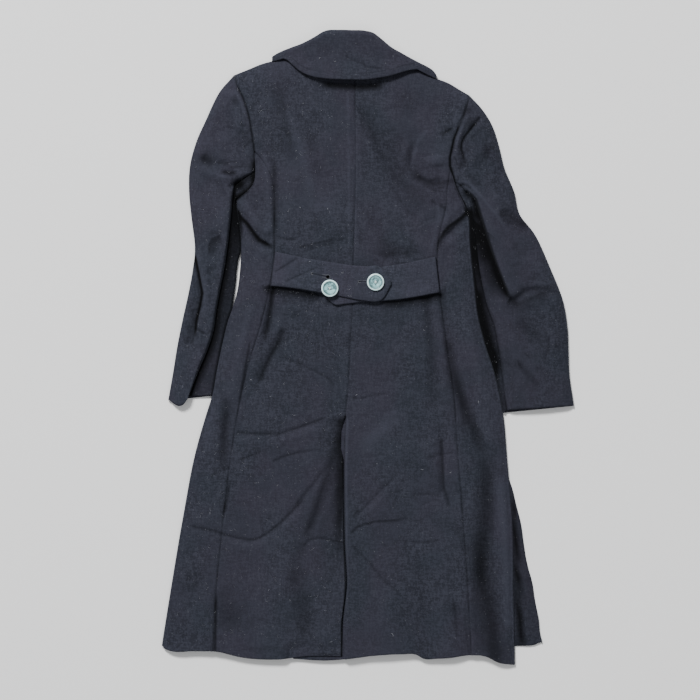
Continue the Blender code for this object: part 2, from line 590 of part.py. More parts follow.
def front_panel(name, half, lap_x):
    """A front: flat on the surface, from its outer edge to the lap at the middle."""
    hem = (lambda x: hem_left(x) + FRONT_INSET) if half.side < 0 else front_hem
    ramp_end = LAP_LEFT - LAP_MARGIN
    middle = [ramp_end - LAP_RAMP, ramp_end, lap_x] if half.side < 0 else [FRONT_MIDDLE, lap_x]
    top_outer = front_edge(half, TOP_LEVEL)[0]
    rows = []
    for level in LEVELS:
        outer = front_edge(half, level)
        x = np.concatenate([np.linspace(outer[0], middle[0], COLUMNS_FRONT + 1), middle[1:]])
        top_x = top_outer + (x - x[0]) / (lap_x - x[0]) * (lap_x - top_outer)
        y = bent_level(level, shoulder(top_x) - ROLL - FRONT_INSET - front_neck(top_x), hem(x))
        y[0] = outer[1]
        rows.append(np.column_stack([x, y]))
    rows = np.array(rows)
    corner = (rows[0, 0] - rows[1, 0]) / np.linalg.norm(rows[0, 0] - rows[1, 0])
    rows[0, 0] -= corner * (ROLL + FRONT_INSET)
    top = np.full(rows.shape[:2], CLOTH)
    if half.side < 0:
        top[:, -2:] += CLOTH + SEAM
    face, back = sheet(rows[..., 0], rows[..., 1], top)
    return wall(name, face, back, NAVY_UNDER)


def make_fronts():
    """The right front lies lowest, and the left one laps over its edge."""
    front_panel("front_right", RIGHT, LAP_LEFT)
    front_panel("front_left", LEFT, LAP_RIGHT)


# ================================================================ sleeves
def edge_normals(path, side, first):
    """Unit directions across an edge, pointing out of the sleeve, with the first one given."""
    along = np.gradient(path, axis=0)
    across = np.column_stack([along[:, 1], -along[:, 0]]) * side
    across /= np.linalg.norm(across, axis=1)[:, None]
    fade = np.array(HEAD_TURN + [0.0] * (len(path) - len(HEAD_TURN)))[:, None]
    across = across * (1 - fade) + np.asarray(first, float) * fade
    return across / np.linalg.norm(across, axis=1)[:, None]


def sleeve_frame(side, sections, armhole, head_levels, rows):
    """Rows of the sleeve's top side from the outer roll to the inner one, and where the back seam is."""
    guide = curve([(k, *section) for k, section in enumerate(sections)])
    where = np.linspace(0, len(sections) - 1, rows)
    line = guide(where)
    outer, seam, inner = line[:, 0:2], line[:, 2:4], line[:, 4:6]
    head = np.array([[float(armhole(y)), y] for y in head_levels])
    head[:, 0] += side * SEAM / 2
    seam_at = int(np.argmin(np.abs(np.array(head_levels) - sections[0].seam_y)))
    tip_out = (head[0] - head[1]) / np.linalg.norm(head[0] - head[1])
    outer_out = edge_normals(outer, side * -1, tip_out)
    inner_out = edge_normals(inner, side, (0.0, -1.0))
    outer_start = outer - outer_out * ROLL
    inner_start = inner - inner_out * ROLL
    head[0] -= tip_out * ROLL
    head[-1] = head[-1] - np.array([0.0, -1.0]) * ROLL
    bow = np.interp(where, range(len(HEAD_BOW)), HEAD_BOW)
    return dict(where=where, outer_start=outer_start, seam=seam, inner_start=inner_start, outer_out=outer_out,
                inner_out=inner_out, head=head, seam_at=seam_at, bow=bow)


def across_rows(start, end, head, bow):
    """Rows from start to end: the first is the armhole's own, and its curve fades out in the next ones."""
    length = np.concatenate([[0], np.cumsum(np.linalg.norm(np.diff(head, axis=0), axis=1))])
    spread = length / length[-1]
    straight_head = head[0] + np.outer(spread, head[-1] - head[0])
    rows = start[:, None] + spread[None, :, None] * (end - start)[:, None]
    rows = rows + bow[:, None, None] * (head - straight_head)[None]
    rows[0] = head
    return rows


def sleeve_height(side, frame, points, folds):
    """Height of the sleeve's top side: steep at the back seam's fold on the left, soft on the right."""
    x, y = points[..., 0], points[..., 1]
    from_seam = np.linalg.norm(points - frame["seam"][:, None], axis=2)
    from_edge = np.linalg.norm(points - frame["outer_start"][:, None], axis=2)
    inside = ease(from_edge, SLEEVE_SOFTNESS)
    height = EDGE_HEIGHT + ease(from_seam, SEAM_SOFTNESS[side]) * inside * (SLEEVE_HEIGHT - EDGE_HEIGHT)
    height = np.maximum(height + inside * fold_height(folds, x, y), EDGE_HEIGHT)
    return head_blend(side, points, height)


def head_blend(side, points, height):
    """Take on the body's height next to the armhole."""
    from_head = np.linalg.norm(points - points[:1], axis=2)
    body = (left_back_height if side < 0 else right_back_height)(points[:1, :, 0], points[:1, :, 1])
    return height + (body - height) * np.exp(-from_head / HEAD_BLEND)


def underside_rows(start, end, head, bow):
    """Rows on the underside from start to end, the first one along the armhole."""
    spread = np.linspace(0, 1, LOW_COLUMNS + 1)
    rows = start[:, None] + spread[None, :, None] * (end - start)[:, None]
    direct = head[0] + np.outer(spread, head[-1] - head[0])
    rows = rows + bow[:, None, None] * (head - direct)[None]
    rows[0] = head
    return rows


def sleeve(side, sections, armhole, armhole_table, head_levels, under_levels, folds, cuff_drop):
    """A two-piece sleeve, pressed flat: each piece goes round one edge of it."""
    frame = sleeve_frame(side, sections, armhole, head_levels, SLEEVE_ROWS)
    at, head, bow = frame["seam_at"], frame["head"], frame["bow"]
    seam_shift = frame["outer_start"] - frame["seam"]
    seam_shift = seam_shift / np.linalg.norm(seam_shift, axis=1)[:, None] * SEAM / 2
    top = across_rows(frame["seam"] + seam_shift, frame["outer_start"], head[at::-1], bow)
    under = across_rows(frame["seam"] - seam_shift, frame["inner_start"], head[at:], bow)
    along = (head[at] - head[at + 1]) / np.linalg.norm(head[at] - head[at + 1])
    under[0, 0] -= along * SEAM
    drop = np.clip((frame["where"] - frame["where"][-1] + CUFF_REACH) / CUFF_REACH, 0, 1)[:, None]
    spread = np.linspace(0, 1, top.shape[1])[None]
    top[..., 1] -= cuff_drop * drop * np.sin(pi * spread ** CUFF_LEAN) * (spread < 1)
    bottom_curve = broken(armhole_table, under_levels)
    coarse = np.array([[float(bottom_curve(y)) + side * SEAM / 2, y] for y in under_levels])
    coarse[0], coarse[-1] = head[0], head[-1]
    front_seam = frame["inner_start"] + FRONT_SEAM_AT * (frame["outer_start"] - frame["inner_start"])
    front_seam[0] = coarse[LOW_COLUMNS]
    shift = frame["outer_start"] - frame["inner_start"]
    shift = shift / np.linalg.norm(shift, axis=1)[:, None] * SEAM / 2
    low_top = underside_rows(frame["outer_start"], front_seam + shift, coarse[:LOW_COLUMNS + 1], bow)
    low_under = underside_rows(frame["inner_start"], front_seam - shift, coarse[:LOW_COLUMNS - 1:-1], bow)
    low_along = coarse[LOW_COLUMNS] - coarse[LOW_COLUMNS + 1]
    low_under[0, -1] -= low_along / np.linalg.norm(low_along) * SEAM
    name = "left" if side < 0 else "right"
    height = sleeve_height(side, frame, top, folds)
    height[:, -1] = EDGE_HEIGHT
    tube_half(f"sleeve_{name}_top", top, height, frame["outer_out"], low_top)
    height = head_blend(side, under, np.full(under.shape[:2], EDGE_HEIGHT))
    height[:, -1] = EDGE_HEIGHT
    tube_half(f"sleeve_{name}_under", under, height, frame["inner_out"], low_under)


def tube_half(name, top, height, outward, low):
    """One piece of the flattened tube: its top side, the roll at its edge, and its underside."""
    face, back = sheet(top[..., 0], top[..., 1], height)
    rolled = [roll(face[i, -1], outward[i], 180) for i in range(len(face))]
    low_face = np.concatenate([low[:, 1:], np.zeros((*low[:, 1:].shape[:2], 1))], axis=2)
    low_back = low_face + np.array([0, 0, CLOTH])
    whole_face = np.concatenate([face, np.array([r[0] for r in rolled]), low_face], axis=1)
    whole_back = np.concatenate([back, np.array([r[1] for r in rolled]), low_back], axis=1)
    return wall(name, whole_face, whole_back, NAVY)


def make_sleeves():
    """Both sleeves."""
    sleeve(-1, LEFT_SLEEVE, armhole_left, ARMHOLE_LEFT, LEFT_HEAD_LEVELS, LEFT_UNDER_LEVELS, LEFT_SLEEVE_FOLDS,
           CUFF_DROP_LEFT)
    sleeve(1, RIGHT_SLEEVE, armhole_right, ARMHOLE_RIGHT, RIGHT_HEAD_LEVELS, RIGHT_UNDER_LEVELS,
           RIGHT_SLEEVE_FOLDS, 0.0)


# ================================================================ collar
def collar_section(low, fold, depth, height, x):
    """One slice of the collar: the leaf on the back, the roll at the neck and a short return underneath."""
    start = fold - depth
    thick_y = min(TWO_PLY, COLLAR_THIN[0] * depth)
    thick_z = min(TWO_PLY, COLLAR_THIN[1] * height)
    leaf = np.linspace(0, 1, COLLAR_LEAF_STEPS + 1)
    y = low + leaf * (start - low)
    if low < float(shoulder(x)) - COLLAR_ON_BACK:
        resting = over(back_height, np.full(y.shape, x), y, COLLAR_REACH) + REST + thick_z
    else:
        resting = np.full(y.shape, height)
    z = np.maximum(resting, resting[0] + (height - resting[0]) * leaf ** COLLAR_RISE)
    z[-1] = height
    face = [(x, a, b) for a, b in zip(y, z)]
    back = [(x, a, b - thick_z) for a, b in zip(y, z)]
    for k in range(1, ROLL_STEPS + 2):
        angle = pi * k / (ROLL_STEPS + 1)
        face.append((x, start + depth * sin(angle), height / 2 * (1 + cos(angle))))
        back.append((x, start + (depth - thick_y) * sin(angle), height / 2 + (height / 2 - thick_z) * cos(angle)))
    end = start - min(COLLAR_RETURN, max(COLLAR_TIP_RETURN, start - low))
    face.append((x, end, 0.0))
    back.append((x, end, thick_z))
    return face, back


def make_collar():
    """The collar, sliced from its left end to its right one, with closer slices at the ends."""
    slices = curve([tuple(s) for s in COLLAR])
    share = np.linspace(0, 1, COLLAR_SLICES)
    first, last = COLLAR[0].x, COLLAR[-1].x
    crowded = (1 - np.cos(pi * share)) / 2
    across = first + (last - first) * (share + COLLAR_CROWDING * (crowded - share))
    sections = [collar_section(*(float(v) for v in slices(x)), float(x)) for x in across]
    wall("collar", np.array([s[0] for s in sections]), np.array([s[1] for s in sections]), NAVY)


# ================================================================ half-belt and buttons
def tab_rows(table):
    """Grid of a belt tab's points, along its length and across its width."""
    edges = curve([(k, *row) for k, row in enumerate(table)])(np.linspace(0, len(table) - 1, TAB_ROWS + 1))
    spread = np.linspace(0, 1, TAB_COLUMNS + 1)[None, :, None]
    return edges[:, None, 0:2] * (1 - spread) + edges[:, None, 2:4] * spread


def back_face(x, y):
    """The back's face on both sides of the centre."""
    return np.where(x < centre(y), left_back_height(x, y), right_back_height(x, y))


def tab_height(x, y, upper):
    """Face of a tab: it lies on the back, and the upper one climbs onto the lower one."""
    climb = step(x, *TAB_CLIMB) * (TWO_PLY + REST) if upper else 0.0
    return over(back_face, x, y, TAB_REACH) + REST + TWO_PLY + climb


def make_belt():
    """Two tabs from the side seams. The left one is on top and buttons over the right one."""
    for name, table, upper in (("belt_left", UPPER_TAB, True), ("belt_right", LOWER_TAB, False)):
        points = tab_rows(table)
        height = tab_height(points[..., 0], points[..., 1], upper)
        face, back = sheet(points[..., 0], points[..., 1], height, TWO_PLY)
        wall(name, face, back, NAVY)


def button_blank(name, x, y, z):
    """A turned disc with a raised rim and a shallow dish, by spinning its profile."""
    rim, dish = BUTTON_RADIUS - BUTTON_RIM, BUTTON_THICK - BUTTON_DISH
    profile = [(0.0, 0.0), (BUTTON_RADIUS - BUTTON_CHAMFER, 0.0), (BUTTON_RADIUS, BUTTON_CHAMFER),
               (BUTTON_RADIUS, BUTTON_THICK - BUTTON_ROUNDING), (BUTTON_RADIUS - BUTTON_ROUNDING, BUTTON_THICK),
               (rim + RIM_SLOPE, BUTTON_THICK), (rim - RIM_SLOPE, dish), (0.0, dish)]
    bm = bmesh.new()
    line = [bm.verts.new(((x + r) * MM, y * MM, (z + h) * MM)) for r, h in profile]
    edges = [bm.edges.new(pair) for pair in zip(line, line[1:])]
    bmesh.ops.spin(bm, geom=line + edges, cent=(x * MM, y * MM, z * MM), axis=(0, 0, 1), angle=2 * pi,
                   steps=BUTTON_SIDES, use_merge=True)
    bmesh.ops.remove_doubles(bm, verts=bm.verts, dist=0.01 * MM)
    bmesh.ops.recalc_face_normals(bm, faces=bm.faces)
    return make_object(name, bm, PEARL)


def drill(button, x, y, z):
    """Four thread holes through a button, cut with round cutters that stay out of the model."""
    bm = bmesh.new()
    for k in range(4):
        turn = pi / 4 + k * pi / 2
        made = bmesh.ops.create_cone(bm, cap_ends=True, segments=HOLE_SIDES, radius1=HOLE_RADIUS * MM,
                                     radius2=HOLE_RADIUS * MM, depth=4 * BUTTON_THICK * MM)
        place = ((x + HOLE_SPACING * cos(turn)) * MM, (y + HOLE_SPACING * sin(turn)) * MM, z * MM)
        bmesh.ops.translate(bm, vec=place, verts=made["verts"])
    mesh = bpy.data.meshes.new(button.name + "_drill")
    bm.to_mesh(mesh)
    bm.free()
    cutter = bpy.data.objects.new(button.name + "_drill", mesh)
    bpy.context.collection.objects.link(cutter)
    cutter.hide_render = True
    cutter.display_type = "WIRE"
    cut = button.modifiers.new("thread holes", "BOOLEAN")
    cut.operation = "DIFFERENCE"
    cut.solver = "EXACT"
    cut.object = cutter


def make_buttons():
    """Both buttons lie on the upper tab."""
    for name, (x, y) in BUTTONS.items():
        turn = np.linspace(0, 2 * pi, BUTTON_SIDES, endpoint=False)
        rim = tab_height(x + BUTTON_RADIUS * np.cos(turn), y + BUTTON_RADIUS * np.sin(turn), True)
        z = float(np.max(rim)) + SEAM
        drill(button_blank(name, x, y, z), x, y, z)


def main():
    """Clear the scene and make every piece."""
    for thing in list(bpy.data.objects):
        bpy.data.objects.remove(thing, do_unlink=True)
    make_fronts()
    make_back()
    make_sleeves()
    make_collar()
    make_belt()
    make_buttons()


main()
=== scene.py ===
"""A navy melton overcoat laid flat on its front, back up: the finished surface of every piece.

Tables are in millimetres, where no comment says otherwise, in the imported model's frame: X to the wearer's right, Y
towards the collar, Z up from the surface. A piece of cloth is a shell between two grids of points, its face and its
back. Rows run across the coat and follow each other from the collar to the hem. Sides -1 and 1 are left and right.
"""

from collections import namedtuple
from math import cos, pi, radians, sin

import bmesh
import bpy
import numpy as np
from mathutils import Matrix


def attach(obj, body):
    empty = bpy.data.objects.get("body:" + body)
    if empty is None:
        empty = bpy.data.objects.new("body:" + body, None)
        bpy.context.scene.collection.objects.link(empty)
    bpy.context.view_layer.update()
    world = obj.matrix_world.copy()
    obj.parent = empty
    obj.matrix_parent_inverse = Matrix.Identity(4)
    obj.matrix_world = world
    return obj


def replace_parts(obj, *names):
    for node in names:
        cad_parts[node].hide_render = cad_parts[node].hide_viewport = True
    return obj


bl_info = {
    "name": "Laid-out overcoat",
    "version": (1, 0, 0),
    "blender": (4, 5, 0),
    "location": "3D View > Sidebar > Overcoat",
    "description": "Builds a long wool overcoat lying flat, with its half-belt, buttons and stitching",
    "category": "Object",
}

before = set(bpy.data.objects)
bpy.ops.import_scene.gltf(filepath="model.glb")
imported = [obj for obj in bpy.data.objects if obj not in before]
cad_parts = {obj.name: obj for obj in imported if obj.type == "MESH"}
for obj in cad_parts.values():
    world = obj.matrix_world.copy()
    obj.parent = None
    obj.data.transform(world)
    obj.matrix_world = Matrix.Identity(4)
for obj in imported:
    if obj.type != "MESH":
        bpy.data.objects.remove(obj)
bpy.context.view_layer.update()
MM = 0.001
SURFACES = []          # grids of the upper faces, for the lint that settles on them

# ---------------------------------------------------------------- cloth and layers
TWO_PLY = 4.2          # collar and belt
SEAM = 0.16            # gap between sewn pieces, drawn together by the stitching
REST = 0.5             # air between a layer and what it lies on
EDGE_HEIGHT = 6.4      # height of a rolled edge
ROLL = EDGE_HEIGHT / 2
ROLL_STEPS = 10        # points round a rolled edge
LEAST_RADIUS = 0.15    # of the inside of a rolled edge
BACK_HEIGHT = 12.6
SKIRT_LIFT = 1.6       # the skirt's middle is this much higher, and the next three lines say where
SKIRT_LIFT_DOWN = (60, 160)
SKIRT_LIFT_LEFT = (-200, -110)
SKIRT_LIFT_RIGHT = (20, 120)
EDGE_SOFTNESS = 16.0
ARMPIT_SOFTNESS = 22.0
SIDE_EDGE_STARTS = (225, 285)
EDGE_STOPS = np.array([0, 0.2, 0.6, 1.2, 2.2, 3.6, 5.4])     # distances of the points next to an edge
EDGE_SHARE = 0.42      # at each end of a row those points take up at most this share of it
ALLOWANCE = 13.0       # a seam's turned allowance reaches this far under the face
THINNED = 3            # a back has one point where its face has this many
WHOLE = 8              # rows and columns at a back's ends that are all kept
HEM_ROUND = 1.6        # radii of rounded edges: hems and the vent, the side panels' hems, the cuffs, two layers
SIDE_HEM_ROUND = 1.4
CUFF_ROUND = 1.5
TWO_PLY_ROUND = 1.9
FAR = 1e3              # a distance where nothing reaches

# ---------------------------------------------------------------- seams and the small relief of the cloth
GROOVE = (0.35, 0.8, 1.7)              # a seam's groove: least depth, what puckering adds, width
GROOVE_DARK = (0.04, 0.26, 1.3)        # the same for the shade painted in it
PRESSED = 0.4                          # the allowance under the face lifts it this much,
PRESSED_FROM = (0.8, 4.0)              # starting over these distances from the seam
PRESSED_TO = (ALLOWANCE - 4.5, ALLOWANCE + 2.5)
PUCKERS = [(0.22, 9.3, 1.1), (0.17, 23.7, 0.0), (0.11, 4.1, 2.0)]      # each wave's share, length / 2 pi and shift
WAVES = 10
WAVE_TURN, WAVE_SHIFT = 2.4, 1.7       # from each wave to the next
WAVE_LENGTH, WAVE_LONGER = 34, 9.5     # of the first wave, and what each next one adds
WAVE_HEIGHT, WAVE_HIGHER = 0.085, 0.16                 # of the first wave, and the share that each next one adds
WAVE_BEND, WAVE_BEND_LENGTH = 7, 0.7   # how far a wave's crest winds, and over which share of its length
FOLD_CUTOFF = 3.2                      # a fold ends this many widths away
# Painted shade: the cloth's colour is darkened in troughs, seams and hollows, up to these values
TROUGH_DARK = {1: (0.55, 0.12), 2: (0.8, 0.024)}       # by form: share of the width, painted shade per mm of depth
TROUGH_DARKEST = 0.26
DARKEST = 0.95
PAINTED_LIGHT_FROM = 0.8                        # folds higher than this get a painted highlight, by their height's share of this, up to this
PAINTED_LIGHT_HEIGHT, PAINTED_LIGHT_MOST = 16, 0.2       # by their height's share of this, up to this

# ---------------------------------------------------------------- body outline and seams, columns: y, x
TOP_LEVEL = 540.0
CHEST_LEVEL = 400.0
SKIRT_LEVEL = -460.0
HEM_LEVEL = -555.0
VENT_TOP = -122.0
VENT_UNDER = -126.0
SIDE_LEFT = [(265, -237), (235, -233), (215, -230), (136, -230), (100, -235), (75, -242), (46, -252),
             (9, -261), (-44, -272), (-87, -280), (-122, -291), (-185, -309), (-303, -332), (-433, -354),
             (-540, -371), (-560, -374)]
SIDE_RIGHT = [(246, 179), (233, 182), (193, 184), (103, 193), (64, 197), (13, 209), (-50, 229), (-116, 243),
              (-203, 251), (-311, 260), (-455, 263), (-575, 265)]
PRINCESS_LEFT = [(355, -206), (335, -189), (312, -176), (283, -169), (211, -168), (147, -169), (96, -179),
                 (42, -192), (-23, -212), (-109, -232), (-188, -245), (-303, -259), (-447, -273), (-560, -279)]
PRINCESS_RIGHT = [(335, 148.5), (315, 147.5), (283, 143), (255, 141), (208, 130), (165, 125), (98, 130),
                  (13, 141), (-86, 155), (-181, 161), (-293, 170), (-419, 179), (-570, 187)]
CENTRE = [(560, -24), (247, -23), (193, -25), (75, -28), (-5, -32), (-95, -37), (-122, -40), (-195, -43),
          (-347, -42), (-428, -39), (-491, -46), (-570, -46)]
ARMHOLE_LEFT = [(489, -241), (467, -233), (445, -223), (420, -215), (395, -210), (366, -206), (337, -203),
                (316, -202), (294, -206), (282, -215), (273, -226), (265, -237)]
ARMHOLE_RIGHT = [(452, 184), (438, 179), (420, 173), (402, 164), (381, 157), (345, 149), (325, 148),
                 (303, 154), (283, 161), (265, 170), (246, 179)]

# shoulder and neck line, and hems, columns: x, y
SHOULDER = [(-241, 489), (-212, 501), (-190, 510), (-171, 515), (-150, 520), (-122, 531), (-98, 543), (-77, 554),
            (-28, 556), (-5, 555), (13, 550), (22, 543), (44, 525), (76, 507), (95, 497), (119, 485.5),
            (148, 474), (166, 463), (184, 452)]
HEM_LEFT = [(-374, -537), (-360, -544), (-311, -546), (-271, -547), (-228, -557), (-167, -561), (-106, -555),
            (-40, -555)]
HEM_RIGHT = [(-134, -560), (-73, -563), (-44, -561), (13, -554), (60, -551.5), (90, -553.5), (98, -558.5),
             (125, -559.5), (150, -558), (177, -554), (213, -556), (236, -567), (262, -571)]

# ---------------------------------------------------------------- fronts
LAP_LEFT = -65.0
LAP_RIGHT = 15.0
LAP_RAMP = 24.0
LAP_MARGIN = 3.0
BACK_FALLS = (1, 18)        # distances past the lap over which its height runs out
SKIRT_SHOWS = -225.0        # y below which the right front's skirt shows past the back
SKIRT_STARTS = -190.0
FRONT_SKIRT = [(-225, 250), (-253, 260), (-282, 267), (-318, 276), (-354, 281), (-390, 287), (-422, 296),
               (-455, 301), (-491, 308), (-516, 310), (-535, 314)]
FRONT_NECK = [(-260, 0), (-125, 0), (-90, 30), (-65, 75), (15, 75), (40, 30), (75, 0), (260, 0)]   # x, drop
FRONT_INSET = 2.0
FRONT_INSIDE = 1.2          # a front's edge lies this far inside the armhole seam
SLACK_ACROSS = (225, 262)   # where the skirt that shows is uneven: x, and how far down
SLACK_DOWN = (190, 260)
SLACK = 0.8
SLACK_EDGE = 6
FRONT_ROWS, FRONT_COLUMNS = 150, 50
FRONT_HEM = [(-70, -546), (60, -547), (96, -551), (143, -553), (200, -548), (265, -537), (304, -534), (314, -529)]

# ---------------------------------------------------------------- vent
UNDERLAP_EDGE = -134.0
UNDERLAP_FACE = [(-134, 6.9), (-92, 7.9), (-70, 8.5), (200, 8.5)]
VENT_OPENING = [(-122, 0), (-150, 6), (-180, 6), (-200, 0.5), (-570, 0)]
VENT_RISE = 3.6
VENT_LAP_DOWN = (-30, -2)
VENT_LAP_IN = (-22, -4)
VENT_BLEND = 6                      # the centre seam ends over this distance above and below the vent's top
UNDERLAP_OPENS = 6                  # the underlap unfolds over this height,
UNDERLAP_FOLDED = (0.05, 0.35)      # from this far past the seam and this wide
UNDERLAP_TO = 0.2
UNDERLAP_COLUMNS = 14
HIDDEN_PAST = 0.3
LAP_HEM_FROM, LAP_HEM_TO = (-154, -134), (-46, -38)     # where the left panel's hem sinks on to the underlap
LAP_HEM_Y, LAP_HEM_REACH, LAP_HEM_SINKS = -556, 22, 7

# ---------------------------------------------------------------- back panels
CENTRE_GRID, SIDE_GRID = (600, 112), (460, 48)          # rows and columns
TIP_RUN = 12                        # the armhole's direction at its tip is taken over this height,
TIP_NEAR = (2, 26)                  # and the shoulder follows it at these distances
HEM_TURNED = (30, 40)               # the hem's turned-up cloth ends over these heights,
HEM_THICKER = 0.5                   # and up to there it is thicker by this share
SEAM_SHIFT = 40                     # makes the centre seam pucker in other places than its neighbours
# painted shade in the centre seam, as a share of a seam's
CENTRE_DARK = 0.5
SIDE_STARTS = 5                     # a side panel's point lies this far below the end of the princess seam
ROLL_SHARE = 0.4                    # an edge's radius is at most this share of the panel's width
ROLL_BELOW = 12                     # the side edge is rolled from this far below the armpit
EDGE_BLEND = 3.0                    # reach of the rolled edge's height into the panel
PRINCESS_FAINT = 0.8                # the seam's relief is less by this share near its end,
FAINT_BELOW, DARK_FAINT_BELOW = 30, 40                  # this far below it, and its shade ends there
EDGE_DARK, EDGE_DARK_FROM = 0.8, (60, 110)              # painted shade on the rolled edge beside an arm, by y
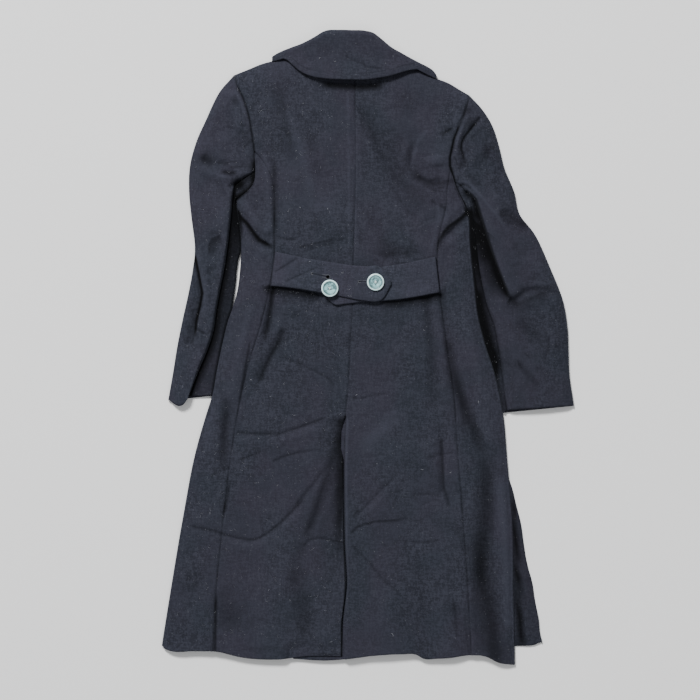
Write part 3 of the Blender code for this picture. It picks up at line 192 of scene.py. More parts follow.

# ---------------------------------------------------------------- folds
# A soft ridge (height above 0) or trough along a path. Left and right are its half widths on either side of
# somebody who walks along the path. Form 2 is a soft fold, and form 1 a crisp crease. It fades in and out over
# the two lengths of fade; 0 keeps it whole up to that end.
Fold = namedtuple("Fold", "path height left right form fade", defaults=(2, (16, 16)))
BACK_FOLDS = [
    # drags from the armpits down to the belt
    Fold([(-240, 260), (-230, 236), (-215, 222), (-203, 204), (-194, 193), (-166, 176)], -4.8, 3, 9, 2, (0, 24)),
    Fold([(-232, 272), (-212, 240), (-196, 222), (-172, 200)], 3.4, 9, 8, 2, (6, 14)),
    Fold([(-234, 246), (-224, 243), (-214, 236)], -1.6, 2, 3, 1, (0, 6)),
    Fold([(-226, 196), (-205, 182), (-180, 160)], 2.0, 8, 9, 2, (6, 10)),
    Fold([(180, 250), (168, 228), (152, 210), (132, 192)], -4.6, 8, 3.5, 2, (0, 24)),
    Fold([(176, 262), (158, 246), (140, 226), (128, 212)], 2.6, 8, 9, 2, (4, 14)),
    Fold([(176, 214), (160, 196), (142, 182)], 2.2, 8, 8, 2, (8, 10)),
    Fold([(183, 236), (172, 240), (162, 238)], -1.2, 2, 3, 1, (0, 6)),
    # upper back
    Fold([(-32, 453), (-7, 413), (15, 366), (37, 301), (55, 269), (73, 244), (94, 226)], -2.2, 13, 10, 2, (30, 14)),
    Fold([(-34, 455), (-18, 430), (-6, 408)], -1.0, 1.8, 2.4, 1),
    Fold([(37, 301), (55, 269), (73, 244), (90, 228)], -0.9, 1.8, 2.4, 1),
    Fold([(-167, 337), (-167, 175)], -2.4, 13, 10, 2, (40, 30)),
    Fold([(-140, 340), (-138, 190)], 1.4, 20, 20, 2, (40, 40)),
    Fold([(83, 373), (80, 337), (89, 305), (109, 296), (145, 301)], -3.6, 5, 8, 2, (20, 20)),
    Fold([(121, 348), (124, 322)], 3.4, 17, 17, 2, (10, 10)),
    Fold([(71, 375), (67, 335), (77, 296), (105, 283)], 1.5, 7, 7, 2, (20, 20)),
    Fold([(124, 380), (150, 393)], -1.4, 2.5, 3.5, 1, (10, 0)),
    Fold([(112, 266), (134, 256)], -1.3, 2.5, 3.5, 1, (8, 0)),
    Fold([(96, 292), (118, 284), (140, 288)], -1.0, 2.5, 3.5, 1, (8, 8)),
    Fold([(2, 237), (22, 201), (33, 157)], -2.0, 9, 9, 2, (16, 0)),
    Fold([(-161, 199), (-146, 194), (-126, 193)], -1.4, 2.5, 4, 1, (0, 8)),
    Fold([(-122, 170), (-93, 179), (-64, 187), (-35, 198)], -1.2, 3, 4, 1, (10, 12)),
    Fold([(-90, 430), (-104, 380), (-100, 330)], -1.3, 14, 14, 2, (30, 30)),
    Fold([(58, 480), (74, 440), (66, 400)], -1.2, 12, 12, 2, (24, 24)),
    Fold([(-196, 470), (-186, 420)], -1.2, 9, 9, 2, (20, 20)),
    Fold([(140, 440), (128, 420)], -1.0, 8, 8),
    Fold([(-56, 330), (-60, 250), (-50, 210)], 0.9, 18, 18, 2, (30, 30)),
    # skirt, left of the vent
    Fold([(-171, 104), (-176, 76), (-180, 45), (-190, 10)], -4.6, 6, 6, 2, (0, 16)),
    Fold([(-151, 36), (-161, 8), (-176, -19), (-190, -46), (-198, -72)], -4.4, 5, 8, 2, (14, 16)),
    Fold([(-148, 80), (-158, 40), (-170, 8)], 2.2, 8, 8, 2, (10, 20)),
    Fold([(-206, 84), (-222, 20), (-238, -52), (-248, -104)], 2.6, 9, 9, 2, (24, 30)),
    Fold([(-212, -20), (-226, -90)], -1.6, 5, 5, 2, (20, 24)),
    Fold([(-250, -104), (-257, -165), (-262, -226)], -3.6, 8, 8, 2, (24, 30)),
    Fold([(-165, -15), (-140, -22), (-115, -33), (-86, -47), (-71, -55), (-57, -72)], -1.7, 1.6, 3.4, 1, (14, 8)),
    Fold([(-239, -152), (-203, -155), (-163, -156), (-134, -147), (-102, -136), (-73, -125)], -2.3, 1.8, 6, 1,
         (8, 14)),
    Fold([(-239, -166), (-163, -172), (-80, -142)], 1.3, 9, 9),
    Fold([(-163, -163), (-145, -181)], -1.2, 2.5, 3, 1, (4, 8)),
    Fold([(-232, -203), (-206, -193), (-188, -186)], -1.4, 2, 4, 1, (8, 8)),
    Fold([(-174, -206), (-152, -196), (-124, -188), (-88, -185)], -1.7, 1.8, 5, 1, (8, 18)),
    Fold([(-282, -232), (-262, -222), (-246, -215)], -1.2, 2, 3, 1, (4, 8)),
    Fold([(-296, -166), (-268, -174)], -1.0, 2, 3, 1, (6, 8)),
    Fold([(-330, -318), (-307, -323), (-278, -329), (-262, -334), (-239, -341), (-212, -346), (-198, -344),
          (-181, -334), (-160, -318), (-131, -289), (-112, -270)], -2.3, 2, 6, 1, (20, 16)),
    Fold([(-262, -350), (-204, -362), (-150, -328), (-116, -288)], 1.5, 10, 10),
    Fold([(-134, -292), (-110, -262), (-88, -238), (-68, -206), (-58, -190)], -2.4, 4, 7, 2, (16, 10)),
    Fold([(-100, -262), (-80, -232), (-66, -212)], 1.6, 5, 6),
    Fold([(-108, -336), (-92, -300), (-80, -262), (-64, -228)], -2.8, 5, 8, 2, (14, 10)),
    Fold([(-76, -318), (-62, -280), (-53, -246)], -2.4, 4, 6, 2, (14, 8)),
    Fold([(-120, -362), (-106, -346), (-88, -342), (-66, -345), (-46, -350)], -1.7, 2, 4, 1, (10, 0)),
    Fold([(-210, -483), (-190, -490), (-174, -497)], -1.2, 3, 4, 1, (8, 8)),
    Fold([(-131, -390), (-124, -450), (-113, -530)], -3.0, 20, 20, 2, (30, 30)),
    Fold([(-250, -420), (-248, -520)], -3.0, 18, 22, 2, (30, 30)),
    Fold([(-54, -124), (-56, -210), (-55, -330), (-53, -440)], -3.6, 16, 24, 2, (14, 70)),
    Fold([(-190, -390), (-186, -545)], 1.8, 22, 22, 2, (40, 10)),
    Fold([(-78, -430), (-76, -545)], 1.2, 16, 16, 2, (40, 10)),
    Fold([(-216, 40), (-226, 0)], 1.0, 6, 6),
    # skirt, right of the vent
    Fold([(-36, -128), (-38, -230), (-38, -360), (-41, -500)], 1.7, 5, 4, 2, (10, 60)),
    Fold([(134, 92), (136, 60), (142, 21), (150, -36), (160, -76), (184, -123), (197, -158), (206, -200)],
         -4.8, 11, 8, 2, (0, 40)),
    Fold([(110, 84), (112, 30), (120, -40), (132, -100)], -1.8, 9, 9, 2, (0, 40)),
    Fold([(172, 70), (184, 10), (206, -60), (222, -130)], 2.4, 10, 10, 2, (24, 40)),
    Fold([(134, -150), (133, -210), (134, -270)], -3.2, 4, 7, 2, (24, 12)),
    Fold([(107, -199), (128, -193), (157, -189)], -1.2, 2, 3.5, 1, (8, 10)),
    Fold([(74, -266), (104, -263), (132, -267)], -1.2, 2, 3.5, 1, (12, 4)),
    Fold([(60, -348), (100, -350), (139, -345)], -1.2, 2, 4, 1, (14, 12)),
    Fold([(-31, -336), (-24, -326), (-14, -320), (13, -313), (49, -311), (88, -305)], -1.3, 1.6, 5, 1, (4, 30)),
    Fold([(-25, -309), (-14, -297), (13, -267), (35, -246), (62, -222)], -1.5, 3, 3, 1, (4, 34)),
    Fold([(-6, -302), (20, -276), (44, -256)], 1.0, 5, 7),
    Fold([(44, -286), (54, -268), (64, -253)], -1.3, 2.5, 3, 1, (6, 8)),
    Fold([(-28, -356), (-10, -374), (6, -390), (28, -419), (56, -440), (66, -460)], -1.4, 4, 5, 1, (8, 34)),
    Fold([(-38, -89), (-14, -92), (8, -87), (40, -82)], -1.3, 2, 3.4, 1, (0, 14)),
    Fold([(206, -190), (217, -260), (219, -320), (208, -400), (200, -460), (207, -556)], -4.4, 13, 15, 2, (30, 10)),
    Fold([(246, -215), (248, -330), (250, -540)], 2.6, 9, 12, 2, (30, 20)),
    Fold([(157, -458), (172, -516), (180, -556)], -2.6, 6, 9, 2, (16, 0)),
    Fold([(182, -240), (192, -330), (186, -420)], 1.4, 10, 10, 2, (30, 30)),
    Fold([(90, -380), (100, -470), (104, -556)], -1.8, 18, 18, 2, (40, 0)),
    Fold([(30, -400), (36, -470), (34, -556)], 1.2, 20, 20, 2, (40, 0)),
    Fold([(40, -120), (70, -180)], -1.2, 12, 12),
    Fold([(0, -220), (60, -190), (96, -160)], 0.9, 16, 16),
    Fold([(60, -20), (64, -80)], -0.9, 14, 14),
]
# Painted shade where little light comes in. These paths are in the picture's pixels, and their widths in millimetres.
# Height is painted shade from 0 to 1, and below 0 a painted highlight.
BACK_SHADES = [
    # armpits and armholes
    Fold([(234.5, 203), (240, 216), (248, 224), (255, 234), (260, 240), (266, 243), (277, 250)], 0.85, 2.2, 4.5, 2,
         (0, 26)),
    Fold([(250, 235), (262, 243)], 0.22, 4.5, 12, 2, (19, 19)),
    Fold([(236, 206), (240, 217), (241.5, 228), (241, 238), (239.5, 250)], 0.55, 2.5, 3, 2, (0, 14)),
    Fold([(466, 213), (462, 217), (455, 222), (448, 227), (443, 233), (438, 244), (434, 256)], 0.80, 5, 2.4, 2,
         (0, 54)),
    Fold([(236, 82), (244, 100), (248.5, 114), (251.5, 128), (254, 146), (255.5, 162)], 0.38, 2, 2, 2, (30, 0)),
    Fold([(255.5, 160), (255.5, 172), (253.5, 184), (248, 191), (242, 196), (236, 200.5)], 0.85, 2, 2.2, 2, (10, 0)),
    Fold([(469, 95), (462, 120), (457, 131)], 0.35, 1.8, 1.8, 2, (30, 0)),
    Fold([(459, 125), (456, 133), (453.5, 140), (452, 148), (449.5, 158), (449.7, 166), (452, 174), (454, 181),
          (456, 189), (460, 197), (464, 204), (466, 212)], 0.8, 1.8, 2, 2, (30, 0)),
    # upper back
    Fold([(272, 80), (280, 100), (287, 130), (292, 160)], 0.12, 13.5, 13.5, 2, (21, 21)),
    Fold([(288, 108), (298, 140), (306, 172), (312, 200)], -0.24, 8, 8, 2, (20, 30)),
    Fold([(308, 128), (315, 155), (320, 182)], 0.08, 10.5, 10.5),
    Fold([(347.5, 92), (348.5, 150), (349.5, 250)], -0.22, 2.5, 2.5),
    Fold([(354.5, 100), (355.5, 180), (355.5, 250)], -0.20, 2.5, 2.5),
    Fold([(359, 104), (370, 128), (382, 156), (396, 176), (410, 193), (424, 214)], 0.12, 18, 9, 2, (28, 28)),
    Fold([(385, 115), (400, 150), (418, 200)], 0.06, 36, 30, 2, (57, 57)),
    Fold([(395, 92), (420, 112)], 0.08, 21, 18),
    Fold([(428, 129), (418, 141), (413, 157), (411.5, 172)], -0.30, 3.5, 3.5, 2, (10, 10)),
    Fold([(414, 171), (421, 179), (430, 183.5), (441, 184), (452, 180)], 0.26, 4.5, 7.5, 2, (12, 0)),
    Fold([(430, 150), (444, 158)], -0.20, 12, 12),
    Fold([(407, 148), (406, 172)], 0.09, 7.5, 7.5),
    Fold([(440, 137), (446, 132), (450, 129.5)], 0.40, 1.6, 2.2, 2, (8, 0)),
    Fold([(430, 200), (438, 205.5), (445, 208)], 0.28, 1.5, 2.5, 2, (8, 0)),
    Fold([(428, 190), (444, 192)], 0.18, 1.5, 2, 2, (8, 4)),
    Fold([(296, 200), (320, 206), (340, 212)], -0.16, 22, 24, 2, (20, 20)),
    Fold([(272, 150), (274, 175), (274, 210), (274.5, 238)], 0.26, 6, 3, 2, (40, 20)),
    Fold([(264, 150), (268, 190), (270, 236)], -0.24, 4, 6, 2, (16, 10)),
    Fold([(296, 248), (318, 243), (338, 238)], 0.25, 2, 3, 2, (10, 12)),
    Fold([(380, 234), (388, 246), (398, 257)], 0.14, 11, 11, 2, (14, 14)),
    Fold([(436, 198), (439, 216), (434, 236), (430, 254)], -0.26, 2.5, 2.5),
    Fold([(316, 84), (345, 86.5), (365, 87), (388, 85)], 0.75, 4, 7, 2, (24, 24)),
    # waist
    Fold([(255, 250), (262, 290)], -0.14, 14, 14),
    Fold([(269, 286.5), (285, 289), (300, 291.5), (326, 297)], 0.66, 3, 11, 2, (0, 30)),
    Fold([(376, 303), (400, 301.5), (425, 297), (438, 294)], 0.62, 3, 10, 2, (24, 0)),
    Fold([(366, 252), (386, 256), (402, 254), (430, 249)], 0.22, 12, 4, 2, (40, 40)),
    Fold([(272, 293), (270, 310), (267, 328), (262, 350)], 0.50, 6, 3, 2, (0, 44)),
    Fold([(294, 306), (298, 322)], 0.12, 9, 9, 2, (14, 14)),
    Fold([(286, 323), (279, 341), (270, 357), (263, 372), (256, 390)], 0.36, 6, 3, 2, (34, 34)),
    Fold([(425, 298), (427, 320), (429, 345), (431, 380), (434, 412)], 0.14, 9, 9, 2, (0, 30)),
    Fold([(437, 300), (441, 340), (446, 370)], -0.16, 5, 6),
    # skirt, left of the vent
    Fold([(250.5, 340), (245, 370), (239, 405)], 0.35, 2.2, 2.2, 2, (10, 14)),
    Fold([(258, 345), (252, 370)], -0.16, 5, 5, 2, (8, 14)),
    Fold([(227, 392), (225, 420), (224, 445), (223, 473)], 0.21, 9, 9, 2, (20, 16)),
    Fold([(215, 400), (208, 450)], -0.15, 8, 8, 2, (20, 20)),
    Fold([(231, 476), (227, 500), (222, 522)], 0.34, 2.5, 3, 2, (24, 24)),
    Fold([(217, 590), (216, 620), (215.5, 650)], 0.50, 2, 3, 2, (24, 0)),
    Fold([(232, 590), (230, 640)], 0.11, 24, 21, 2, (38, 38)),
    Fold([(196, 560), (186, 600)], 0.09, 21, 21, 2, (33, 33)),
    Fold([(180, 600), (172, 640)], 0.06, 21, 21, 2, (33, 33)),
    Fold([(303, 535), (296, 560), (292, 590)], 0.12, 12, 12, 2, (19, 20)),
    Fold([(304, 585), (306, 645)], 0.12, 12, 15, 2, (24, 24)),
    Fold([(282, 545), (276, 600)], -0.15, 10, 10, 2, (20, 30)),
    Fold([(340, 430), (328, 467), (318, 498), (309, 522), (303, 540)], 0.2, 12, 6, 2, (19, 20)),
    Fold([(300, 470), (318, 440)], -0.14, 10, 10),
    Fold([(334, 546), (342, 548)], 0.12, 7.5, 7.5, 2, (12, 0)),
    Fold([(343, 416), (342.5, 450), (341.5, 500), (340.5, 560)], 0.55, 2, 11, 2, (8, 90)),
    Fold([(344.8, 414), (343.3, 456), (343.5, 500), (344, 540), (345.5, 584), (344.4, 602), (341.8, 622),
          (341.6, 655)], 0.80, 1.4, 1.6, 2, (6, 0)),
    Fold([(313, 653), (341, 654)], 0.25, 1.0, 1.0, 2, (4, 0)),
    # skirt, right of the vent
    Fold([(347.4, 412), (345.9, 456), (346.5, 540), (348.2, 585), (344.8, 618)], -0.40, 2, 2, 2, (14, 40)),
    Fold([(404, 404), (385, 426), (356, 452)], -0.40, 14, 14, 2, (34, 34)),
    Fold([(445, 335), (451, 363), (459, 392), (468, 417), (478, 440), (486, 458)], 0.21, 10.5, 15, 2, (24, 24)),
    Fold([(455, 372), (462, 400), (466, 432)], 0.12, 7.5, 7.5),
    Fold([(484, 440), (487, 470), (484, 510), (480, 545), (480, 590)], 0.24, 19, 17, 2, (80, 90)),
    Fold([(474, 515), (477, 545), (481, 575), (487, 600), (491, 622), (494, 655)], 0.40, 17, 15, 2, (110, 0)),
    Fold([(498, 470), (503, 520), (507, 570), (508, 630)], -0.30, 10, 8, 2, (30, 14)),
    Fold([(478, 400), (490, 440)], -0.16, 8, 8),
    Fold([(441, 436), (442.5, 460), (443.6, 486), (450, 508)], 0.32, 2.2, 4, 2, (12, 12)),
    Fold([(455, 522), (468, 558)], 0.12, 6, 7.5),
    Fold([(452.7, 594), (457, 640)], 0.18, 2.5, 2.5),
    Fold([(464, 612), (468.6, 652)], 0.18, 2.5, 2.5, 2, (12, 0)),
    Fold([(402, 590), (404, 640)], 0.06, 21, 21, 2, (33, 33)),
    Fold([(350.5, 533), (358, 526), (375, 521), (395, 520), (412, 517)], 0.20, 1.4, 1.8, 2, (4, 40)),
    Fold([(352, 517), (360, 508)], 0.30, 2, 2, 2, (3, 8)),
]
FRONT_FOLDS = [Fold([(262, -419), (284, -419)], -0.8, 4, 4)]
# Painted shade on the fronts; paths and widths as in BACK_SHADES
FRONT_SHADES = [
    Fold([(512.5, 485), (515, 530), (517, 570), (519.5, 610), (521, 648)], 0.72, 4, 6, 2, (60, 0)),
    Fold([(524, 579), (534, 580)], 0.30, 1.6, 2.4, 2, (4, 6)),
]
LEFT_SLEEVE_FOLDS = [
    Fold([(-312, 343), (-291, 333), (-273, 330)], -2.6, 9, 12, 2, (0, 14)),
    Fold([(-271, 334), (-248, 332), (-214, 325)], -1.5, 4, 6, 2, (8, 12)),
    Fold([(-300, 342), (-284, 336)], -2.6, 11, 9, 2, (8, 8)),
    Fold([(-264, 315), (-244, 312)], -1.4, 2.5, 3, 1),
    Fold([(-306, 322), (-272, 308), (-244, 306)], 2.4, 9, 8),
    Fold([(-247, 466), (-234, 424), (-226, 385)], 2.8, 6, 7, 2, (12, 20)),
    Fold([(-246, 451), (-236, 428)], -2.8, 6, 5),
    Fold([(-221, 382), (-210, 391)], -1.6, 3, 4, 1, (6, 0)),
    Fold([(-226, 358), (-208, 372)], -1.6, 3, 4, 1, (6, 0)),
    Fold([(-236, 402), (-222, 398), (-214, 402)], -1.2, 3, 3, 1),
    Fold([(-311, 176), (-302, 132), (-295, 95), (-298, 72), (-306, 45), (-312, 22), (-315, -12)], 3.0, 13, 1.8, 2,
         (14, 20)),
    Fold([(-311, 176), (-302, 132), (-295, 95), (-298, 72), (-306, 45), (-312, 22), (-315, -12)], -3.8, 1.2, 16, 2,
         (14, 20)),
    Fold([(-276, 212), (-273, 176)], -1.6, 14, 12, 2, (10, 14)),
    Fold([(-311, 37), (-299, 28), (-286, 22)], -1.8, 3, 4, 1, (4, 8)),
    Fold([(-286, 30), (-270, 22), (-262, 30)], -1.6, 3, 4, 1, (4, 8)),
    Fold([(-262, 290), (-260, 240), (-264, 205)], 2.0, 9, 12, 2, (16, 20)),
    Fold([(-292, 430), (-302, 390)], -1.5, 9, 9),
    Fold([(-282, 148), (-278, 100), (-288, 60)], -1.6, 8, 8, 2, (16, 16)),
    Fold([(-318, 20), (-330, -30)], -1.2, 6, 6),
    Fold([(-250, 286), (-228, 298), (-206, 304)], -5.2, 5, 5, 2, (6, 0)),
]
# Painted shade on the left sleeve, and below 0 a painted highlight; paths and widths as in BACK_SHADES
LEFT_SLEEVE_SHADES = [
    Fold([(197, 156), (206, 160), (217, 165)], 0.32, 11.7, 7.8, 2, (18, 18)),
    Fold([(216, 163), (232, 164)], 0.22, 3, 4, 2, (6, 8)),
    Fold([(221, 172), (229, 173.5), (238, 173)], 0.42, 4, 4, 2, (8, 8)),
    Fold([(229, 168), (241, 166.8), (252, 167)], 0.25, 2.2, 2.2, 2, (6, 4)),
    Fold([(214, 179), (222, 176.5), (233, 178)], -0.30, 2.5, 3, 2, (8, 6)),
    Fold([(237, 182), (240, 185)], 0.53, 7.8, 9.1, 2, (0, 0)),
    Fold([(236.5, 182), (234.5, 190), (234, 203)], 0.80, 2.5, 2.5, 2, (6, 0)),
    Fold([(247, 174), (243, 192)], 0.14, 9, 12, 2, (4, 4)),
    Fold([(254, 150), (255, 175)], 0.26, 2, 9.1, 2, (14, 0)),
    Fold([(255.5, 158), (255.8, 172), (254, 184), (249, 191), (243, 196), (236, 200.5)], 0.81, 2.6, 6.5, 2, (14, 0)),
    Fold([(234, 78), (244, 100), (248.5, 114), (251.5, 128), (254, 146), (255.5, 162)], 0.32, 1.8, 1.8, 2, (24, 0)),
    Fold([(234, 88), (241, 102), (246, 120)], -0.40, 2.2, 2.4, 2, (8, 12)),
    Fold([(232, 94), (238, 106)], 0.17, 6.5, 6.5, 2, (10, 10)),
    Fold([(209, 257), (209.5, 245), (213, 238.5), (222, 235)], 0.36, 1.8, 14, 2, (14, 6)),
    Fold([(216, 186), (230, 196)], 0.14, 11.7, 11.7, 2, (18, 18)),
    Fold([(238, 128), (248, 140), (250, 152)], 0.12, 5.2, 7.8),
    Fold([(194.8, 252), (199.5, 275), (202.8, 293), (200.5, 307), (197, 321), (196, 340)], 0.90, 1.3, 3.2, 2, (16, 20)),
    Fold([(197, 300), (190, 345)], 0.13, 11.7, 11.7, 2, (18, 20)),
    Fold([(204, 268), (207, 292), (204, 318)], -0.25, 4, 4, 2, (14, 14)),
]
RIGHT_SLEEVE_FOLDS = [
    Fold([(168, 283), (179, 281.5), (189.5, 272.5), (195, 265), (198.5, 252.7), (204, 234.7), (209.3, 218.5),
          (214.7, 200.5), (226, 166), (240, 130), (250, 103), (257, 82)], 5.6, 17, 1.8, 2, (8, 16)),
    Fold([(189, 272), (195, 265), (198.5, 252.7), (204, 234.7), (209.3, 218.5), (214.7, 200.5), (226, 166),
          (240, 130), (250, 103), (257, 82)], -4.6, 1.2, 20, 2, (16, 20)),
    Fold([(164, 308), (184, 296), (202, 274), (220, 256), (238, 235), (251, 215)], 2.4, 7, 6, 2, (8, 34)),
    Fold([(161, 289), (171.5, 293), (180.5, 290.5), (188, 283)], -1.6, 2, 2, 2, (3, 6)),
    Fold([(235, 244), (256, 240), (272, 232), (293, 211)], -4.0, 7, 9, 2, (10, 10)),
    Fold([(214, 268), (240, 262)], 1.8, 9, 9),
    Fold([(252, 85), (265, 82), (283, 100), (305, 104), (340, 100)], -4.6, 6, 9, 2, (4, 0)),
    Fold([(262, 64), (284, 78), (316, 82)], 2.4, 8, 8),
    Fold([(205, 414), (188, 395), (174, 376), (168, 361), (173, 337), (176, 318)], -4.4, 4, 6, 2, (12, 8)),
    Fold([(184, 424), (170, 396), (161, 370), (158, 342), (163, 318)], 2.6, 5, 5, 2, (12, 8)),
    Fold([(216, 362), (208, 336), (202, 312)], -2.6, 8, 9),
    Fold([(190, 368), (188, 338), (192, 318)], 2.0, 6, 7),
    Fold([(326, 22), (325, 0), (318, -25)], -1.8, 3.5, 4, 1, (8, 8)),
    Fold([(276, -5), (298, -26)], -1.5, 3, 4, 1),
    Fold([(265, -17), (280, -44)], -1.5, 3, 4, 1),
    Fold([(305, -33), (306, -50)], -1.6, 3, 4, 1, (6, 6)),
    Fold([(290, 170), (318, 130)], 1.8, 13, 13),
    Fold([(262, 190), (282, 150)], -1.6, 12, 12),
    Fold([(236, 330), (232, 300)], -1.6, 9, 9),
    Fold([(280, 40), (300, -60)], 1.0, 14, 14, 2, (30, 20)),
    Fold([(246, 50), (258, -20), (262, -90)], -1.6, 8, 10, 2, (20, 20)),
]
# Painted shade on the right sleeve, and below 0 a painted highlight; paths and widths as in BACK_SHADES
RIGHT_SLEEVE_SHADES = [
    Fold([(470, 92), (466, 110), (462, 120), (457, 131)], 0.35, 1.8, 1.8, 2, (30, 0)),
    Fold([(459, 125), (456, 133), (453.5, 140), (452, 148), (449.5, 158), (449.7, 166), (452, 174), (454, 181),
          (456, 189), (460, 197), (464, 204), (466, 213)], 0.90, 2.2, 1.8, 2, (12, 0)),
    Fold([(478, 120.5), (472, 127), (468, 132), (464, 137), (461.5, 143), (461, 149), (462.5, 155), (465, 164),
          (466.5, 171)], 0.62, 2, 1.6, 2, (14, 40)),
    Fold([(453, 156), (456, 160.5), (457.5, 167)], 0.45, 1.5, 1.5, 2, (5, 5)),
    Fold([(463, 125), (458, 137), (456, 150)], -0.36, 2.2, 2.2, 2, (8, 12)),
    Fold([(466, 106), (473, 116)], 0.21, 9.1, 9.1, 2, (14, 14)),
    Fold([(476, 121), (480, 117)], 0.35, 2.5, 2.5, 2, (3, 3)),
    Fold([(467, 131), (475, 118)], 0.19, 6.5, 7.8, 2, (12, 12)),
    Fold([(492, 141), (487, 150), (484, 163)], 0.22, 9.1, 9.1, 2, (14, 16)),
    Fold([(461, 175), (470, 180), (481, 190)], 0.24, 9.1, 2.6, 2, (14, 16)),
    Fold([(457, 181), (465, 182), (473, 188), (481, 197), (490, 208), (500, 220), (507, 232)], -0.45, 2.4, 2.6, 2,
         (4, 24)),
    Fold([(456.5, 187.5), (463, 184.8), (468, 186.5), (472, 190.5)], 0.40, 1.4, 1.4, 2, (3, 6)),
    Fold([(461, 190.5), (467, 191.5), (472.5, 196), (476, 201), (478.5, 208), (481, 217), (484, 226), (487, 236),
          (492, 252), (498, 270), (504, 285), (511, 300)], 0.81, 2.1, 7.8, 2, (12, 12)),
    Fold([(466.5, 213.5), (470, 218), (476, 223.5), (483, 229)], 0.85, 1.2, 17, 2, (0, 0)),
    Fold([(470, 218), (476, 234), (483, 250), (490, 268)], 0.72, 11.7, 16.9, 2, (0, 30)),
    Fold([(484, 250), (497, 277), (508, 298)], 0.53, 5.2, 26, 2, (41, 41)),
    Fold([(473, 203), (478, 220)], 0.26, 3.9, 7.8, 2, (12, 12)),
    Fold([(474, 286), (480, 312), (487, 335), (494, 358), (500, 380)], 0.72, 10.4, 7.8, 2, (24, 40)),
    Fold([(497, 212), (508, 219), (520, 223), (531, 229)], 0.26, 10.4, 10.4, 2, (16, 16)),
    Fold([(511, 301), (518, 305), (528, 300), (540, 295), (551, 292)], 0.32, 5.2, 10.4, 2, (0, 16)),
    Fold([(516, 315), (528, 330), (540, 342)], 0.17, 15.6, 15.6),
    Fold([(514, 358), (528, 374), (541, 390)], 0.19, 5.2, 6.5, 2, (14, 16)),
    Fold([(490, 345), (497, 380)], 0.17, 9.1, 9.1),
    Fold([(551, 342), (560, 349)], 0.17, 7.8, 7.8, 2, (12, 12)),
    Fold([(500, 320), (512, 345), (520, 365)], -0.14, 8, 8),
    Fold([(470, 196), (468, 208)], -0.18, 3, 3, 2, (4, 6)),
]
# The under pieces lie deep between arm and body, and shade is painted on them. Columns: y, painted shade all over,
# beside the back seam, beside the body
LEFT_UNDER_SHADE = [(-100, 0.12, 0.6, 0.3), (-60, 0.18, 0.8, 0.4), (-10, 0.25, 0.88, 0.5),
                    (40, 0.34, 0.88, 0.55), (110, 0.42, 0.9, 0.5), (180, 0.60, 0.95, 0.7), (215, 0.80, 0.95, 0.9),
                    (250, 0.95, 1.0, 0.95), (263, 0.80, 0.9, 0.8), (278, 0.22, 0.6, 0.4), (330, 0.12, 0.3, 0.3)]
RIGHT_UNDER_SHADE = [(-120, 0.05, 0.1, 0.3), (-60, 0.06, 0.1, 0.5), (0, 0.12, 0.15, 0.85), (60, 0.28, 0.3, 0.9),
                     (130, 0.58, 0.5, 0.8), (190, 0.85, 0.85, 0.9), (225, 0.92, 0.92, 0.95), (238, 0.80, 0.7, 0.8),
                     (256, 0.05, 0.1, 0.4), (330, 0.05, 0.1, 0.2)]
UNDER_REACH = {-1: (13.0, 3.0), 1: (3.0, 5.0)}          # how far the painted shade beside the seam and the body reaches
SLEEVE_GAPS = {-1: [(-90, 0.05), (70, 0.05), (84, 2.6), (104, 4.6), (136, 5.4), (158, 4.0), (173, 0.05), (270, 0.05)],
               1: [(-120, 0.05), (250, 0.05)]}          # columns: y, gap between an arm's edge and the body
GAP_STARTS = (-3, 2)                                    # below the armpit
# Short creases of worn cloth, at random places: seed, count, corners of the area, angle and its spread in degrees
WRINKLES = {
    "back": [(3, 60, (-230, -540, 240, 420), 8, 50), (5, 16, (-170, -60, -50, 70), -30, 25),
             (7, 14, (-30, -420, 110, -220), 25, 35), (9, 12, (-230, 180, -170, 300), -40, 30),
             (11, 12, (120, 180, 170, 400), 50, 35), (13, 10, (-120, 150, 120, 230), 8, 20)],
    "sleeve_left": [(15, 12, (-310, 280, -215, 400), 12, 35), (17, 12, (-340, -60, -270, 200), -60, 40)],
    "sleeve_right": [(19, 14, (180, 300, 240, 420), 60, 35), (21, 18, (240, -80, 350, 240), -40, 40)],
}
WRINKLE_LENGTH, WRINKLE_BOW, WRINKLE_DEPTH = (10, 34), (-3, 3), (0.3, 1.0)
WRINKLE_LEFT, WRINKLE_RIGHT = (1.4, 3), (1.8, 4)        # half widths
WRINKLE_FADE = 0.4                                      # share of its length over which each end fades

# ---------------------------------------------------------------- sleeves
# Sections across the sleeve: its outer edge, the back seam on the top side, and its inner edge next to the body
Section = namedtuple("Section", "outer_x outer_y seam_x seam_y inner_x inner_y")
LEFT_SLEEVE = [
    Section(-241, 489, -202, 315, -237, 265),
    Section(-268, 457, -222, 305, -239.5, 263),
    Section(-291, 409, -238, 290, -240, 258),
    Section(-309, 368, -243, 268, -237, 246),
    Section(-320, 325, -245, 243, -233.8, 228),
    Section(-321.5, 280, -248, 215, -231.6, 207),
    Section(-317, 232, -252, 180, -233.5, 180),
    Section(-311, 180, -258, 140, -237, 136),
    Section(-315, 138, -266, 100, -240.5, 100),
    Section(-323, 95, -272, 66, -247, 68),
    Section(-333, 50, -277, 30, -257.5, 30),
    Section(-343, 0, -288, -4, -265.5, -6),
    Section(-350, -44, -304, -42, -274, -44),
    Section(-359, -95, -322, -88, -282.5, -88),
]
